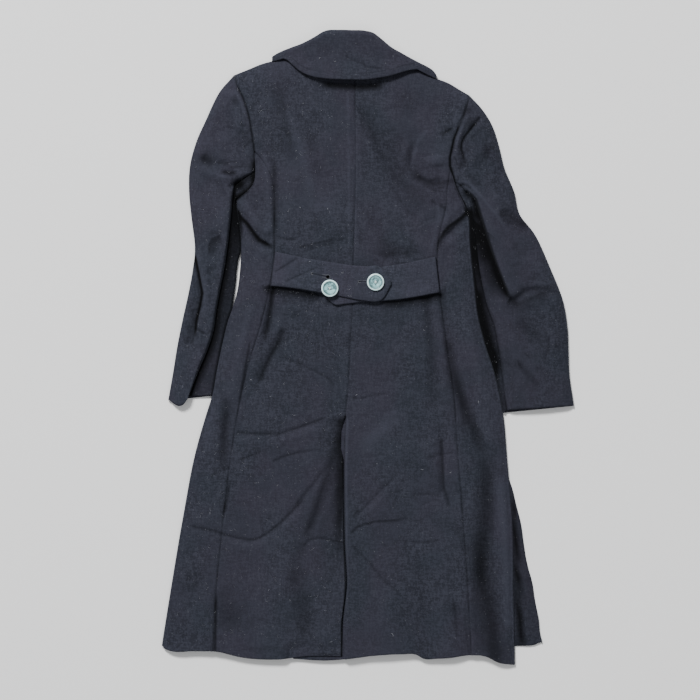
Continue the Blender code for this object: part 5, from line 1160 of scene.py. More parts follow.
def shell(name, face, back, material, valley=None, ridge=None, ends=(WHOLE,) * 4):
    """A piece of cloth: a closed shell between two grids of points (rows, columns, xyz), the back one thinned."""
    rows, columns = face.shape[:2]
    index = np.arange(rows * columns).reshape(rows, columns)
    kept = np.ix_(thin_out(rows, ends[0], ends[1]), thin_out(columns, ends[2], ends[3]))
    coarse = np.arange(index[kept].size).reshape(index[kept].shape) + index.size
    fine_rim, coarse_rim = around(index), around(coarse)
    place = np.searchsorted(fine_rim, around(index[kept]), sorter=np.argsort(fine_rim))
    place = np.argsort(fine_rim)[place]
    faces = quads(index).tolist() + quads(coarse)[:, ::-1].tolist()
    for k, start in enumerate(place):
        end = place[(k + 1) % len(place)]
        run = np.arange(start, end + 1 if end > start else end + 1 + len(fine_rim)) % len(fine_rim)
        faces.append(fine_rim[run].tolist() + [int(coarse_rim[(k + 1) % len(place)]), int(coarse_rim[k])])
    points = np.concatenate([face.reshape(-1, 3), back[kept].reshape(-1, 3)]) * MM
    mesh = bpy.data.meshes.new(name)
    mesh.from_pydata(points.tolist(), [], faces)
    close_outwards(mesh)
    # the wool finish reads these: painted shade in hollows, painted highlight on ridges
    for key, shade in (("valley", valley), ("ridge", ridge)):
        layer = mesh.attributes.new(key, "FLOAT", "POINT")
        values = np.zeros(len(points), np.float32)
        if shade is not None:
            values[:index.size] = np.clip(shade, 0, 1).ravel()
        layer.data.foreach_set("value", values)
    return finished(name, mesh, material)


def grid_distances(points):
    """Distances of a grid's points from its first and last column and from its first and last row."""
    flat = points[..., :2]
    return (length_of(flat - flat[:, :1]), length_of(flat - flat[:, -1:]),
            length_of(flat - flat[:1]), length_of(flat - flat[-1:]))


def lay(points, height, thick):
    """Face and back grids of cloth that lies flat: its back is its face moved straight down."""
    face = np.concatenate([points, height[..., None]], axis=-1)
    return face, face - np.array([0, 0, 1.0]) * np.broadcast_to(thick, height.shape)[..., None]


def roll_over(face, outward, turn, bend, thick, radius, steps=ROLL_STEPS):
    """Columns of a rolled edge after each row's last point: outer and inner grids."""
    start = face[:, -1][:, None]
    out = np.concatenate([outward, np.zeros((len(outward), 1))], axis=1)[:, None]
    up = np.array([0, 0, 1.0])
    k = np.arange(1, steps + 1)[None, :, None]
    radius = np.minimum(radius, start[:, 0, 2] / 2)
    turn, bend, radius = (np.broadcast_to(v, len(face))[:, None, None] for v in (turn, bend, radius))
    angle = np.radians(turn) * k / steps
    turned = out * np.sin(angle) + up * np.cos(angle)
    flat = start + out * radius * k / steps
    outer = bend * (start - up * radius + turned * radius) + (1 - bend) * flat
    inner_radius = np.maximum(radius - thick, LEAST_RADIUS)
    inner = bend * (start - up * radius + turned * inner_radius) + (1 - bend) * (flat - up * thick)
    return outer, inner


# ================================================================ back
Half = namedtuple("Half", "name side armhole princess edge hem height tip armpit split")
LEFT = Half("left", -1, armhole_left, princess_left, side_left, hem_left, left_back_height,
            ARMHOLE_LEFT[0][0], ARMHOLE_LEFT[-1][0], PRINCESS_LEFT[0][0])
RIGHT = Half("right", 1, armhole_right, princess_right, side_right, hem_right, right_back_height,
             ARMHOLE_RIGHT[0][0], ARMHOLE_RIGHT[-1][0], PRINCESS_RIGHT[0][0])


def tip_direction(half):
    """Direction of the armhole at the shoulder tip, outwards."""
    tip, below = half.tip, half.tip - TIP_RUN
    along = np.array([float(half.armhole(tip)) - float(half.armhole(below)), tip - below])
    return along / np.linalg.norm(along)


def bent_level(level, top, hem):
    """The y of a level where a panel's top and hem are at these y."""
    above = CHEST_LEVEL + (level - CHEST_LEVEL) / (TOP_LEVEL - CHEST_LEVEL) * (top - CHEST_LEVEL)
    below = SKIRT_LEVEL + (level - SKIRT_LEVEL) / (HEM_LEVEL - SKIRT_LEVEL) * (hem - SKIRT_LEVEL)
    return np.where(level > CHEST_LEVEL, above, np.where(level < SKIRT_LEVEL, below, level + 0 * above))


def line_points(line, levels, half):
    """A seam line's points at these levels."""
    x = line(levels)
    tip = half.tip - ROLL * tip_direction(half)[1]
    top = shoulder(x) - ROLL if line is centre else np.full(len(levels), tip)
    y = bent_level(levels, top, half.hem(x))
    return np.column_stack([line(y), y])


def fill_rows(start, end, levels, half, count, top_ends):
    """Rows of points from start to end, bent like the shoulder at the top and like the hem at the bottom."""
    lengths = length_of(end - start)
    share = crowd(lengths, count) / lengths[:, None]
    points = start[:, None] + share[..., None] * (end - start)[:, None]
    top = shoulder(top_ends[0] + share * (top_ends[1] - top_ends[0])) - ROLL
    bent = bent_level(levels[:, None], top, half.hem(points[..., 0]))
    bends = ((levels > CHEST_LEVEL) | (levels < SKIRT_LEVEL))[:, None]
    points[:, 1:-1, 1] = np.where(bends, bent, points[..., 1])[:, 1:-1]
    return points


def shoulder_rows(face, half, thick):
    """Rolled rows above a panel's top row, from the underside up, with the same columns."""
    row = face[0]
    from_tip = length_of(row[:, :2] - row[-1, :2])
    near = 1 - step(from_tip, *TIP_NEAR)[:, None]
    outward = (1 - near) * np.array([[0, 1.0]]) + near * tip_direction(half)[None]
    outward /= length_of(outward)[:, None]
    outer, inner = roll_over(row[:, None], outward, 180, 1.0, thick, row[:, 2] / 2)
    return outer.transpose(1, 0, 2)[::-1], inner.transpose(1, 0, 2)[::-1]


def hem_thickness(from_hem, thick):
    """The hem is turned up inside: the pressed cloth is thicker there, and rounded at the fold."""
    return thick * (1 + HEM_THICKER * (1 - step(from_hem, *HEM_TURNED))) - rounded(from_hem, HEM_ROUND)


def underlap_columns(inner, levels, count):
    """The right panel's innermost columns: folded at the seam above the vent, spread under the left below it."""
    share = np.linspace(0, 1, count)
    opened = step(VENT_UNDER - levels, 0, UNDERLAP_OPENS)[:, None]
    folded = inner[:, :1] + UNDERLAP_FOLDED[0] + UNDERLAP_FOLDED[1] * share
    spread = UNDERLAP_EDGE + (inner[:, :1] + UNDERLAP_TO - UNDERLAP_EDGE) * share
    x = folded + opened * (spread - folded)
    y = np.where(levels[:, None] < VENT_UNDER, bent_level(levels[:, None], x * 0, hem_right(x)), inner[:, 1:2])
    return np.stack([x, y], axis=-1)


def centre_panel(name, half, rows, columns, material):
    """A centre back panel: from the centre seam to the armhole and, below its end, to the princess seam."""
    thick = cloth_thickness()
    levels = TOP_LEVEL - crowd(TOP_LEVEL - HEM_LEVEL, rows)[0]
    levels = np.sort(np.concatenate([levels, [VENT_TOP, VENT_UNDER]]))[::-1]
    inner = line_points(centre, levels, half)
    outer = np.where((levels >= half.split)[:, None], line_points(half.armhole, levels, half),
                     line_points(half.princess, levels, half))
    inner[:, 0] += half.side * SEAM / 2
    outer[:, 0] -= half.side * SEAM / 2
    if half.side < 0:
        inner[:, 0] -= vent_opening(inner[:, 1])
    top_ends = (inner[0, 0], outer[0, 0])
    points = fill_rows(inner, outer, levels, half, columns, top_ends)
    lap = 0
    if half.side > 0:
        lap = UNDERLAP_COLUMNS
        points = np.concatenate([underlap_columns(inner, levels, lap), points[:, 1:]], axis=1)
    height = half.height(points[..., 0], points[..., 1])
    smooth_height = height.copy()
    from_inner, from_outer, _, from_hem = grid_distances(points)
    closed = 1 - step(VENT_TOP - points[..., 1], -VENT_BLEND, VENT_BLEND)
    from_centre = np.abs(points[..., 0] - centre(points[..., 1]))
    along = points[..., 1]
    height += seam_relief(from_outer, along) + closed * seam_relief(from_centre, along + SEAM_SHIFT)
    at_vent = (1 - closed) * (rounded(from_inner, HEM_ROUND) if half.side < 0 else 0)
    height -= at_vent + rounded(from_hem, HEM_ROUND)
    hidden = (half.side > 0) * (1 - closed) * (points[..., 0] < centre(points[..., 1]) + HIDDEN_PAST)
    # painted shade and highlight; no painted shade on the underlap hidden under the left panel; painted shade in the
    # seams
    valley, ridge = back_shade(points[..., 0], points[..., 1])
    valley = valley * (1 - hidden) + seam_shade(from_outer, along)
    valley += CENTRE_DARK * closed * seam_shade(from_centre, along + SEAM_SHIFT)
    face, _ = lay(points, height, thick)
    _, back = lay(points, smooth_height, hem_thickness(from_hem, thick))
    if half.side < 0:
        back[..., 2] += (1 - closed) * rounded(from_inner, 1.0)
    top_face, top_back = shoulder_rows(np.concatenate([points, smooth_height[..., None]], axis=-1), half, thick)
    face = np.concatenate([top_face, face])
    back = np.concatenate([top_back, back])
    SURFACES.append(face[ROLL_STEPS::2, lap::2])
    extra = ((ROLL_STEPS, 0), (0, 0))
    return shell(name, face, back, material, np.pad(valley, extra), np.pad(ridge, extra),
                 (WHOLE + ROLL_STEPS, WHOLE, WHOLE + lap, WHOLE))


def side_panel(name, half, rows, columns, material):
    """A side back panel: a point at the armhole, then from the princess seam to the rolled side edge."""
    thick = cloth_thickness()
    first = half.split - SIDE_STARTS
    levels = first - crowd(first - HEM_LEVEL, rows)[0]
    inner = line_points(half.princess, levels, half)
    inner[:, 0] += half.side * SEAM / 2
    at_arm = levels >= half.armpit
    outer = np.where(at_arm[:, None], line_points(half.armhole, levels, half), line_points(half.edge, levels, half))
    outer[:, 0] -= np.where(at_arm, half.side * SEAM / 2, 0)
    radius = np.minimum(ROLL, ROLL_SHARE * np.abs(outer[:, 0] - inner[:, 0]))
    start = outer - np.column_stack([half.side * radius, 0 * radius])
    points = fill_rows(inner, start, levels, half, columns, (inner[0, 0], start[0, 0]))
    bend = step(half.armpit - levels, 0, ROLL_BELOW)
    height = half.height(points[..., 0], points[..., 1])
    from_inner, from_start, _, from_hem = grid_distances(points)
    near_edge = np.exp(-(from_start / EDGE_BLEND) ** 2) * bend[:, None]
    height += near_edge * (EDGE_HEIGHT - height)
    smooth_height = height.copy()
    along = points[..., 1]
    faint = 1 - PRINCESS_FAINT * step(along, half.armpit, half.split - FAINT_BELOW)
    height += faint * seam_relief(from_inner, along) * (1 - near_edge)
    to_arm = np.where(at_arm[:, None], from_start + radius[:, None], FAR)
    height += seam_relief(to_arm, along) * (1 - bend[:, None])
    height -= rounded(from_hem, SIDE_HEM_ROUND)
    # painted shade and highlight, with painted shade in the seams
    valley, ridge = back_shade(points[..., 0], points[..., 1])
    faint = 1 - step(along, SIDE_EDGE_STARTS[0], half.split - DARK_FAINT_BELOW)
    valley = valley + faint * seam_shade(from_inner, along) + seam_shade(to_arm, along)
    face, _ = lay(points, height, thick)
    _, back = lay(points, smooth_height, hem_thickness(from_hem, thick))
    on_front = step(-levels, -SKIRT_STARTS, -SKIRT_SHOWS) * (half.side > 0)
    outward = np.tile([float(half.side), 0.0], (len(levels), 1))
    rolled, rolled_in = roll_over(face, outward, 180 - 90 * on_front, bend, thick, radius)
    face = np.concatenate([face, rolled], axis=1)
    back = np.concatenate([back, rolled_in], axis=1)
    SURFACES.append(face[::2, :-ROLL_STEPS:2])
    # painted shade on the rolled edge beside the arm
    edge = EDGE_DARK * step(along[:, -1:], *EDGE_DARK_FROM) * (1 - at_arm[:, None]) * np.linspace(0, 1, ROLL_STEPS)
    return shell(name, face, back, material, np.concatenate([valley, valley[:, -1:] + edge], axis=1),
                 np.pad(ridge, ((0, 0), (0, ROLL_STEPS))), (WHOLE, WHOLE, WHOLE, WHOLE + ROLL_STEPS))


# ================================================================ fronts
def front_edge(half, levels):
    """A front's outer edge: inside the back's rolled edge, or the skirt that shows past it."""
    y_arm = bent_level(levels, half.tip, 0.0)
    arm = np.column_stack([half.armhole(y_arm) - half.side * (SEAM + FRONT_INSIDE), y_arm])
    y = bent_level(levels, 0.0, half.hem(half.edge(levels)))
    edge = np.column_stack([half.edge(y) - half.side * (ROLL + SEAM), y])
    if half.side > 0:
        y_skirt = bent_level(levels, 0.0, FRONT_SKIRT[-1][0])
        shows = step(-levels, -SKIRT_STARTS, -SKIRT_SHOWS)[:, None]
        skirt = np.column_stack([front_skirt(y_skirt), y_skirt])
        edge = edge + shows * (skirt - edge)
    return np.where((levels >= half.armpit)[:, None], arm, edge)


def front_panel(name, half, lap_x, material):
    """A front: flat on the surface, from its outer edge to the lap at the middle."""
    thick = cloth_thickness()
    levels = TOP_LEVEL - crowd(TOP_LEVEL - HEM_LEVEL, FRONT_ROWS)[0]
    outer = front_edge(half, levels)
    share = crowd(np.abs(lap_x - outer[:, 0]), FRONT_COLUMNS) / np.abs(lap_x - outer[:, 0])[:, None]
    x = outer[:, :1] + share * (lap_x - outer[:, :1])
    top_x = outer[0, 0] + share * (lap_x - outer[0, 0])
    hem = hem_left(x) + FRONT_INSET if half.side < 0 else front_hem(x)
    top = shoulder(top_x) - ROLL - FRONT_INSET - front_neck(top_x)
    y = bent_level(levels[:, None], top, hem)
    y[:, 0] = np.where(levels > CHEST_LEVEL, y[:, 0], outer[:, 1])
    points = np.stack([x, y], axis=-1)
    from_edge, _, _, from_hem = grid_distances(points)
    height = np.full(x.shape, thick)
    if half.side < 0:
        height += step(x, LAP_LEFT - LAP_MARGIN - LAP_RAMP, LAP_LEFT - LAP_MARGIN) * (thick + SEAM)
    height_top = height - rounded(np.minimum(from_edge, from_hem), HEM_ROUND)
    if half.side > 0:
        shows = step(x, *SLACK_ACROSS) * step(-y, *SLACK_DOWN)
        slack = waviness(x, y) + fold_height(FRONT_FOLDS, x, y)
        height_top += shows * (SLACK + SLACK * slack) * step(from_edge, 0, SLACK_EDGE)
    face, _ = lay(points, height_top, thick)
    _, back = lay(points, height, thick)
    # painted shade on the front, from its shade table
    return shell(name, face, back, material, fold_height(placed(FRONT_SHADES), x, y))


# ================================================================ sleeves
def edge_normals(path, side, first, where):
    """Unit directions across an edge, pointing out of the sleeve, with the first one given."""
    along = np.gradient(path, axis=0)
    across = np.column_stack([along[:, 1], -along[:, 0]]) * side
    across /= length_of(across)[:, None]
    fade = np.interp(where / (where[-1] / TURN_STEPS), range(len(HEAD_TURN)), HEAD_TURN)[:, None]
    across = across * (1 - fade) + np.asarray(first, float) * fade
    return across / length_of(across)[:, None]


def armhole_points(half, top, bottom, count):
    """Points along the armhole, closer together at both ends, moved to the sleeve's side of the seam."""
    y = np.linspace(top, bottom, ARMHOLE_POINTS)
    fine = np.column_stack([half.armhole(y) + half.side * SEAM / 2, y])
    run = np.concatenate([[0], np.cumsum(length_of(np.diff(fine, axis=0)))])
    at = crowd(run[-1], count)[0]
    return np.column_stack([np.interp(at, run, fine[:, 0]), np.interp(at, run, fine[:, 1])]), at / run[-1]


def across_rows(start, end, head, share, bow):
    """Rows from start to end: the first lies along the armhole, and its curve fades out in the next ones."""
    direct = head[0] + share[:, None] * (head[-1] - head[0])
    rows = start[:, None] + share[None, :, None] * (end - start)[:, None]
    rows = rows + bow[:, None, None] * (head - direct)[None]
    rows[0] = head
    return rows


def head_blend(half, points, height):
    """Take on the body's height next to the armhole."""
    from_head = length_of(points - points[:1])
    body = half.height(points[:1, :, 0], points[:1, :, 1])
    return height + (body - height) * np.exp(-from_head / HEAD_BLEND)


def sleeve_height(half, points, seam, outer, folds, shades):
    """Height of a sleeve's top side, the shade painted in its hollows and the highlight painted on its ridges."""
    x, y = points[..., 0], points[..., 1]
    from_seam = length_of(points - seam[:, None])
    from_edge = length_of(points - outer[:, None])
    inside = ease(from_edge, SLEEVE_SOFTNESS)
    rise = ease(from_seam, SEAM_SOFTNESS[half.side])
    down = step(np.linspace(0, 1, len(points)), *SEAM_RIDGE_DOWN)[:, None]
    ridge = SEAM_RIDGE[half.side] * down * rise * np.exp(-((from_seam - SEAM_RIDGE_AT) / SEAM_RIDGE_WIDTH) ** 2)
    uneven, dark = relief(folds + wrinkles(f"sleeve_{half.name}"), x, y)
    height = EDGE_HEIGHT + inside * (rise * (SLEEVE_HEIGHT - EDGE_HEIGHT) + ridge
                                     + cloth_folds() * uneven + waviness(x, y))
    # painted shade in the hollows; where the table is below 0, and on high folds, a painted highlight
    shade = cloth_folds() * (dark + fold_height(placed(shades), x, y))
    worn = np.clip(-shade, 0, 1) + np.clip(uneven / PAINTED_LIGHT_HEIGHT, 0, PAINTED_LIGHT_MOST)
    return head_blend(half, points, np.maximum(height, EDGE_HEIGHT)), np.clip(shade, 0, DARKEST), worn


def tube_half(name, top, height, outward, low, material, valley, ridge):
    """One piece of the flattened tube: its top side, the roll at its edge, and its underside."""
    thick = cloth_thickness()
    from_seam, _, _, from_cuff = grid_distances(top)
    along = top[..., 1] + top[..., 0]
    shaped = height + seam_relief(from_seam, top[..., 1]) - rounded(from_cuff, CUFF_ROUND)
    from_head = length_of(top - top[:1])
    shaped += seam_relief(from_head, along)
    # painted shade in the back seam and the armhole seam
    valley = valley + seam_shade(from_seam, top[..., 1]) + HEAD_DARK * seam_shade(from_head, along)
    shaped[:, -1] = EDGE_HEIGHT
    face, _ = lay(top, shaped, thick)
    _, back = lay(top, height, thick)
    rolled, rolled_in = roll_over(face, outward, 180, 1.0, thick, ROLL)
    flat = np.zeros((*low[:, 1:].shape[:2], 1))
    low_face = np.concatenate([low[:, 1:], flat], axis=2)
    low_back = low_face + np.array([0, 0, thick])
    whole = np.concatenate([face, rolled, low_face], axis=1)
    inside = np.concatenate([back, rolled_in, low_back], axis=1)
    SURFACES.append(face[::2, ::2])
    spare = whole.shape[1] - valley.shape[1] - ROLL_STEPS
    # the last column's painted shade carries round the rolled edge, fading
    edge = valley[:, -1:] * np.linspace(1, ROLLED_DARK, ROLL_STEPS)
    valley = np.pad(np.concatenate([valley, edge], axis=1), ((0, 0), (0, spare)))
    ridge = np.pad(ridge, ((0, 0), (0, spare + ROLL_STEPS)))
    return shell(name, whole, inside, material, valley, ridge,
                 (WHOLE, WHOLE, WHOLE, LOW_WHOLE + ROLL_STEPS + spare // 2))


def sleeve(half, sections, folds, shades, under_shade, material):
    """A two-piece sleeve, pressed flat: each piece goes round one edge of it."""
    guide = curve([(k, *section) for k, section in enumerate(sections)])
    where = np.linspace(0, 1, SLEEVE_ROWS) * (len(sections) - 1)
    line = guide(where)
    outer, seam, inner = line[:, 0:2], line[:, 2:4], line[:, 4:6].copy()
    beside = half.edge(inner[:, 1]) + half.side * straight(SLEEVE_GAPS[half.side])(inner[:, 1])
    inner[:, 0] += step(half.armpit - inner[:, 1], *GAP_STARTS) * (beside - inner[:, 0])
    tip_out = tip_direction(half)
    outer_out = edge_normals(outer, -half.side, tip_out, where)
    inner_out = edge_normals(inner, half.side, (0.0, -1.0), where)
    outer_start = outer - outer_out * ROLL
    inner_start = inner - inner_out * ROLL
    tip, pit = half.tip - ROLL * tip_out[1], half.armpit + ROLL
    seam_y = sections[0].seam_y
    columns = SLEEVE_COLUMNS[half.side]
    head_top, share_top = armhole_points(half, seam_y, tip, columns[0])
    head_under, share_under = armhole_points(half, seam_y - SEAM, pit, columns[1])
    bow = np.interp(where, range(len(HEAD_BOW)), HEAD_BOW)
    shift = outer_start - seam
    shift = shift / length_of(shift)[:, None] * SEAM / 2
    top = across_rows(seam + shift, outer_start, head_top, share_top, bow)
    under = across_rows(seam - shift, inner_start, head_under, share_under, bow)
    drop = np.clip((where - where[-1] + CUFF_REACH) / CUFF_REACH, 0, 1)[:, None]
    top[..., 1] -= CUFF_DROP[half.side] * drop * np.sin(pi * share_top ** CUFF_LEAN)[None] * (share_top < 1)
    middle_y = tip + LOW_SPLIT * (pit - tip)
    low_top_head, low_share = armhole_points(half, tip, middle_y, LOW_COLUMNS)
    low_under_head, low_under_share = armhole_points(half, pit, middle_y - SEAM, LOW_COLUMNS)
    front_seam = inner_start + FRONT_SEAM_AT * (outer_start - inner_start)
    front_seam[0] = low_top_head[-1]
    across = outer_start - inner_start
    across = across / length_of(across)[:, None] * SEAM / 2
    low_top = across_rows(outer_start, front_seam + across, low_top_head, low_share, bow)
    low_under = across_rows(inner_start, front_seam - across, low_under_head, low_under_share, bow)
    height, valley, ridge = sleeve_height(half, top, seam, outer_start, folds, shades)
    height[:, -1] = EDGE_HEIGHT
    first = tube_half(f"sleeve_{half.name}_top_cloth", top, height, outer_out, low_top, material, valley, ridge)
    height = head_blend(half, under, EDGE_HEIGHT + UNDER_WAVES * waviness(under[..., 0], under[..., 1]).clip(0))
    height[:, -1] = EDGE_HEIGHT
    # painted shade on the under piece: all over, beside the seam, beside the body, and from the shade table
    deep = curve(under_shade)(under[..., 1])
    reach = UNDER_REACH[half.side]
    beside_seam = np.exp(-(length_of(under - under[:, :1]) / reach[0]) ** 2)
    beside_body = np.exp(-length_of(under - under[:, -1:]) / reach[1])
    valley = np.maximum(deep[..., 1] * beside_seam, deep[..., 2] * beside_body)
    valley = np.maximum(valley, deep[..., 0]) + fold_height(placed(shades), under[..., 0], under[..., 1])
    valley = cloth_folds() * valley
    second = tube_half(f"sleeve_{half.name}_under_cloth", under, height, inner_out, low_under, material,
                       np.clip(valley, 0, DARKEST), 0 * valley)
    return first, second


# ================================================================ collar
def collar_section(low, fold, depth, height, x, steps):
    """One slice: the leaf on the back, the roll at the neck and a short return underneath."""
    start = fold - depth
    low = min(low, float(shoulder(x)) - COLLAR_TIP_LAPS)
    thick_y, thick_z = min(TWO_PLY, COLLAR_THIN[0] * depth), min(TWO_PLY, COLLAR_THIN[1] * height)
    run = start - low
    leaf = crowd(run, steps)[0] / run
    y = low + leaf * run
    across = np.full(y.shape, x)
    if low < float(shoulder(x)) - COLLAR_ON_BACK:
        resting = over(back_height, across, y, COLLAR_REACH) + REST + thick_z
    else:
        resting = np.full(y.shape, height)
    stands = float(collar_stands(x)) * np.exp(-((y - low) / COLLAR_STANDS_REACH) ** 2)
    z = np.maximum(resting + stands, resting[0] + (height - resting[0]) * leaf ** COLLAR_RISE)
    blend = step(leaf, COLLAR_ROLLS_FROM, 1.0)
    z = z + blend * (height - z)
    under = z - thick_z
    from_low = y - low
    detail = fold_height(COLLAR_FOLDS, across, y) + COLLAR_WAVES * waviness(across + COLLAR_WAVES_AT, y) * (1 - blend)
    lift, start_by, end_by = COLLAR_TURNED
    turning = lift * (1 - step(from_low, COLLAR_TURNING + start_by, COLLAR_TURNING + end_by))
    turning = turning * min(1.0, run / COLLAR_TURNED_RUN)
    edge = rounded(from_low, min(TWO_PLY_ROUND, thick_z * COLLAR_ROUND))
    z = z + (detail + turning) * (1 - blend) - edge
    under = under + edge
    face = [(x, a, b) for a, b in zip(y, z)]
    back = [(x, a, b) for a, b in zip(y, under)]
    for k in range(1, COLLAR_ROLL_STEPS + 1):
        angle = pi * k / COLLAR_ROLL_STEPS
        face.append((x, start + depth * sin(angle), height / 2 * (1 + cos(angle))))
        back.append((x, start + (depth - thick_y) * sin(angle), height / 2 + (height / 2 - thick_z) * cos(angle)))
    end = start - min(COLLAR_RETURN, max(COLLAR_TIP_RETURN, run))
    face.append((x, end, 0.0))
    back.append((x, end, thick_z))
    return face, back


def make_collar(material):
    """The collar from its left end to its right one."""
    slices = curve([tuple(s) for s in COLLAR])
    share = np.linspace(0, 1, COLLAR_SLICES)
    first, last = COLLAR[0].x, COLLAR[-1].x
    crowded = (1 - np.cos(pi * share)) / 2
    across = first + (last - first) * (share + COLLAR_CROWDING * (crowded - share))
    sections = [collar_section(*(float(v) for v in slices(x)), float(x), COLLAR_COLUMNS) for x in across]
    face, back = (np.array([s[k] for s in sections]) for k in (0, 1))
    leaf = COLLAR_COLUMNS
    from_low = np.pad(length_of(face[:, :leaf, :2] - face[:, :1, :2]), ((0, 0), (0, face.shape[1] - leaf)),
                      constant_values=FAR)
    dark, beyond, width = COLLAR_GROOVE
    # painted shade in the groove beyond the turned allowance, and in the folds' troughs
    valley = dark * pucker(face[..., 0]) * np.exp(-((from_low - COLLAR_TURNING - beyond) / width) ** 2)
    valley += relief(COLLAR_FOLDS, face[..., 0], face[..., 1])[1] * (from_low < LEAF_REACH)
    SURFACES.append(face[::2, 2:leaf - 6:2])
    return shell("collar_cloth", face, back, material, valley, ends=(WHOLE, WHOLE, WHOLE, WHOLE + COLLAR_ROLL_STEPS))


# ================================================================ half-belt and buttons
def tab_grid(table, length, width):
    """Grid of a tab's points, along its length and across its width."""
    guide = curve([(k, *row) for k, row in enumerate(table)])
    fine = guide(np.linspace(0, len(table) - 1, 400))
    run = np.concatenate([[0], np.cumsum(length_of(np.diff(fine[:, 0:2] + fine[:, 2:4], axis=0)) / 2)])
    at = crowd(run[-1], length)[0]
    edges = np.column_stack([np.interp(at, run, fine[:, k]) for k in range(4)])
    top, low = edges[:, 0:2], edges[:, 2:4]
    widths = length_of(low - top)
    share = crowd(widths, width) / widths[:, None]
    return top[:, None] + share[..., None] * (low - top)[:, None]


def tab_rest(x, y, upper):
    """Face of a tab, plain: it lies on the back, and the upper one climbs onto the lower one."""
    climb = step(x, *TAB_CLIMB) * (TWO_PLY + REST) if upper else 0.0
    return over(back_face, x, y, TAB_REACH) + REST + TWO_PLY + climb


def buttonhole_relief(x, y):
    """The pressed slot and the round eyelet of each keyhole buttonhole."""
    total = np.zeros(x.shape)
    for far, eye in BUTTONHOLES.values():
        total += fold_height([Fold([far, eye], *SLOT)], x, y)
        total += fold_height([Fold([far, eye], *SLOT_LIPS)], x, y)
        from_eye = np.hypot(x - eye[0], y - eye[1]) / (EYELET_RADIUS * EYELET_SHARE)
        total -= EYELET_DEPTH * np.exp(-from_eye ** EYELET_SHARP)
    return total


def make_tab(name, table, upper, material):
    """One tab of the half-belt."""
    points = tab_grid(table, *TAB_GRID)
    x, y = points[..., 0], points[..., 1]
    rest = tab_rest(x, y, upper)
    from_top, from_low = length_of(points - points[:, :1]), length_of(points - points[:, -1:])
    from_seam, from_point = length_of(points - points[:1]), length_of(points - points[-1:])
    edge = np.minimum(np.minimum(from_top, from_low), from_point)
    height = rest + belt_curl(x) * np.exp(-(from_low / TAB_CURL_REACH) ** 2) * step(from_seam, 0, TAB_CURL_FROM)
    detail = fold_height(BELT_FOLDS, x, y) + TAB_WAVES * waviness(x, y + TAB_WAVES_AT)
    if upper:
        detail = detail + buttonhole_relief(x, y)
    puffed = TAB_PUFF * step(edge, *TAB_PUFF_FROM)
    drop = rounded(np.minimum(edge, from_seam), TWO_PLY_ROUND)
    drop = drop + (TAB_LOW_DROP * np.exp(-from_low / TAB_LOW_REACH) if upper else 0)
    face, _ = lay(points, height + detail + puffed - drop, TWO_PLY)
    _, back = lay(points, height, TWO_PLY - rounded(edge, TAB_BACK_ROUND))
    # painted shade in the seam at the tab's end and in its folds, then in the eyelets and slots
    valley = TAB_GROOVE[0] * np.exp(-(from_seam / TAB_GROOVE[1]) ** 2) + TAB_FOLD_DARK * relief(BELT_FOLDS, x, y)[1]
    if upper:
        for far, eye in BUTTONHOLES.values():
            from_eye = np.hypot(x - eye[0], y - eye[1]) / EYELET_RADIUS
            valley = np.maximum(valley, EYELET_DARK * np.exp(-from_eye ** EYELET_SHARP))
            valley = np.maximum(valley, fold_height([Fold([far, eye], *SLOT_DARK)], x, y))
    SURFACES.append(face[4:-4:2, 4:-4:2])
    return shell(name, face, back, material, valley)


def button_profile():
    """Radius and height of a button's outline, from the middle of its back to the middle of its face."""
    rim, dish = BUTTON_RADIUS - BUTTON_RIM, BUTTON_THICK - DISH_DEPTH
    inside, edge = rim - DISH_SLOPE, BUTTON_ROUND
    round_edge = [(BUTTON_RADIUS - edge + edge * sin(a), edge - edge * cos(a)) for a in np.linspace(0, pi / 2, 7)]
    top_edge = [(BUTTON_RADIUS - edge + edge * cos(a), BUTTON_THICK - edge + edge * sin(a))
                for a in np.linspace(0, pi / 2, 8)]
    slope = [(rim + DISH_OUTSIDE - DISH_SLOPE * t, dish + (BUTTON_THICK - dish) * (0.5 + 0.5 * cos(pi * t)))
             for t in np.linspace(0, 1, 8)]
    bowl = [(r, dish - BOWL_DEPTH * (1 - (r / inside) ** 2)) for r in np.linspace(inside - BOWL_INSIDE, 0.0, 16)]
    return [(0.0, 0.0)] + [(r, 0.0) for r in (4.0, 9.0)] + round_edge + top_edge + slope + bowl


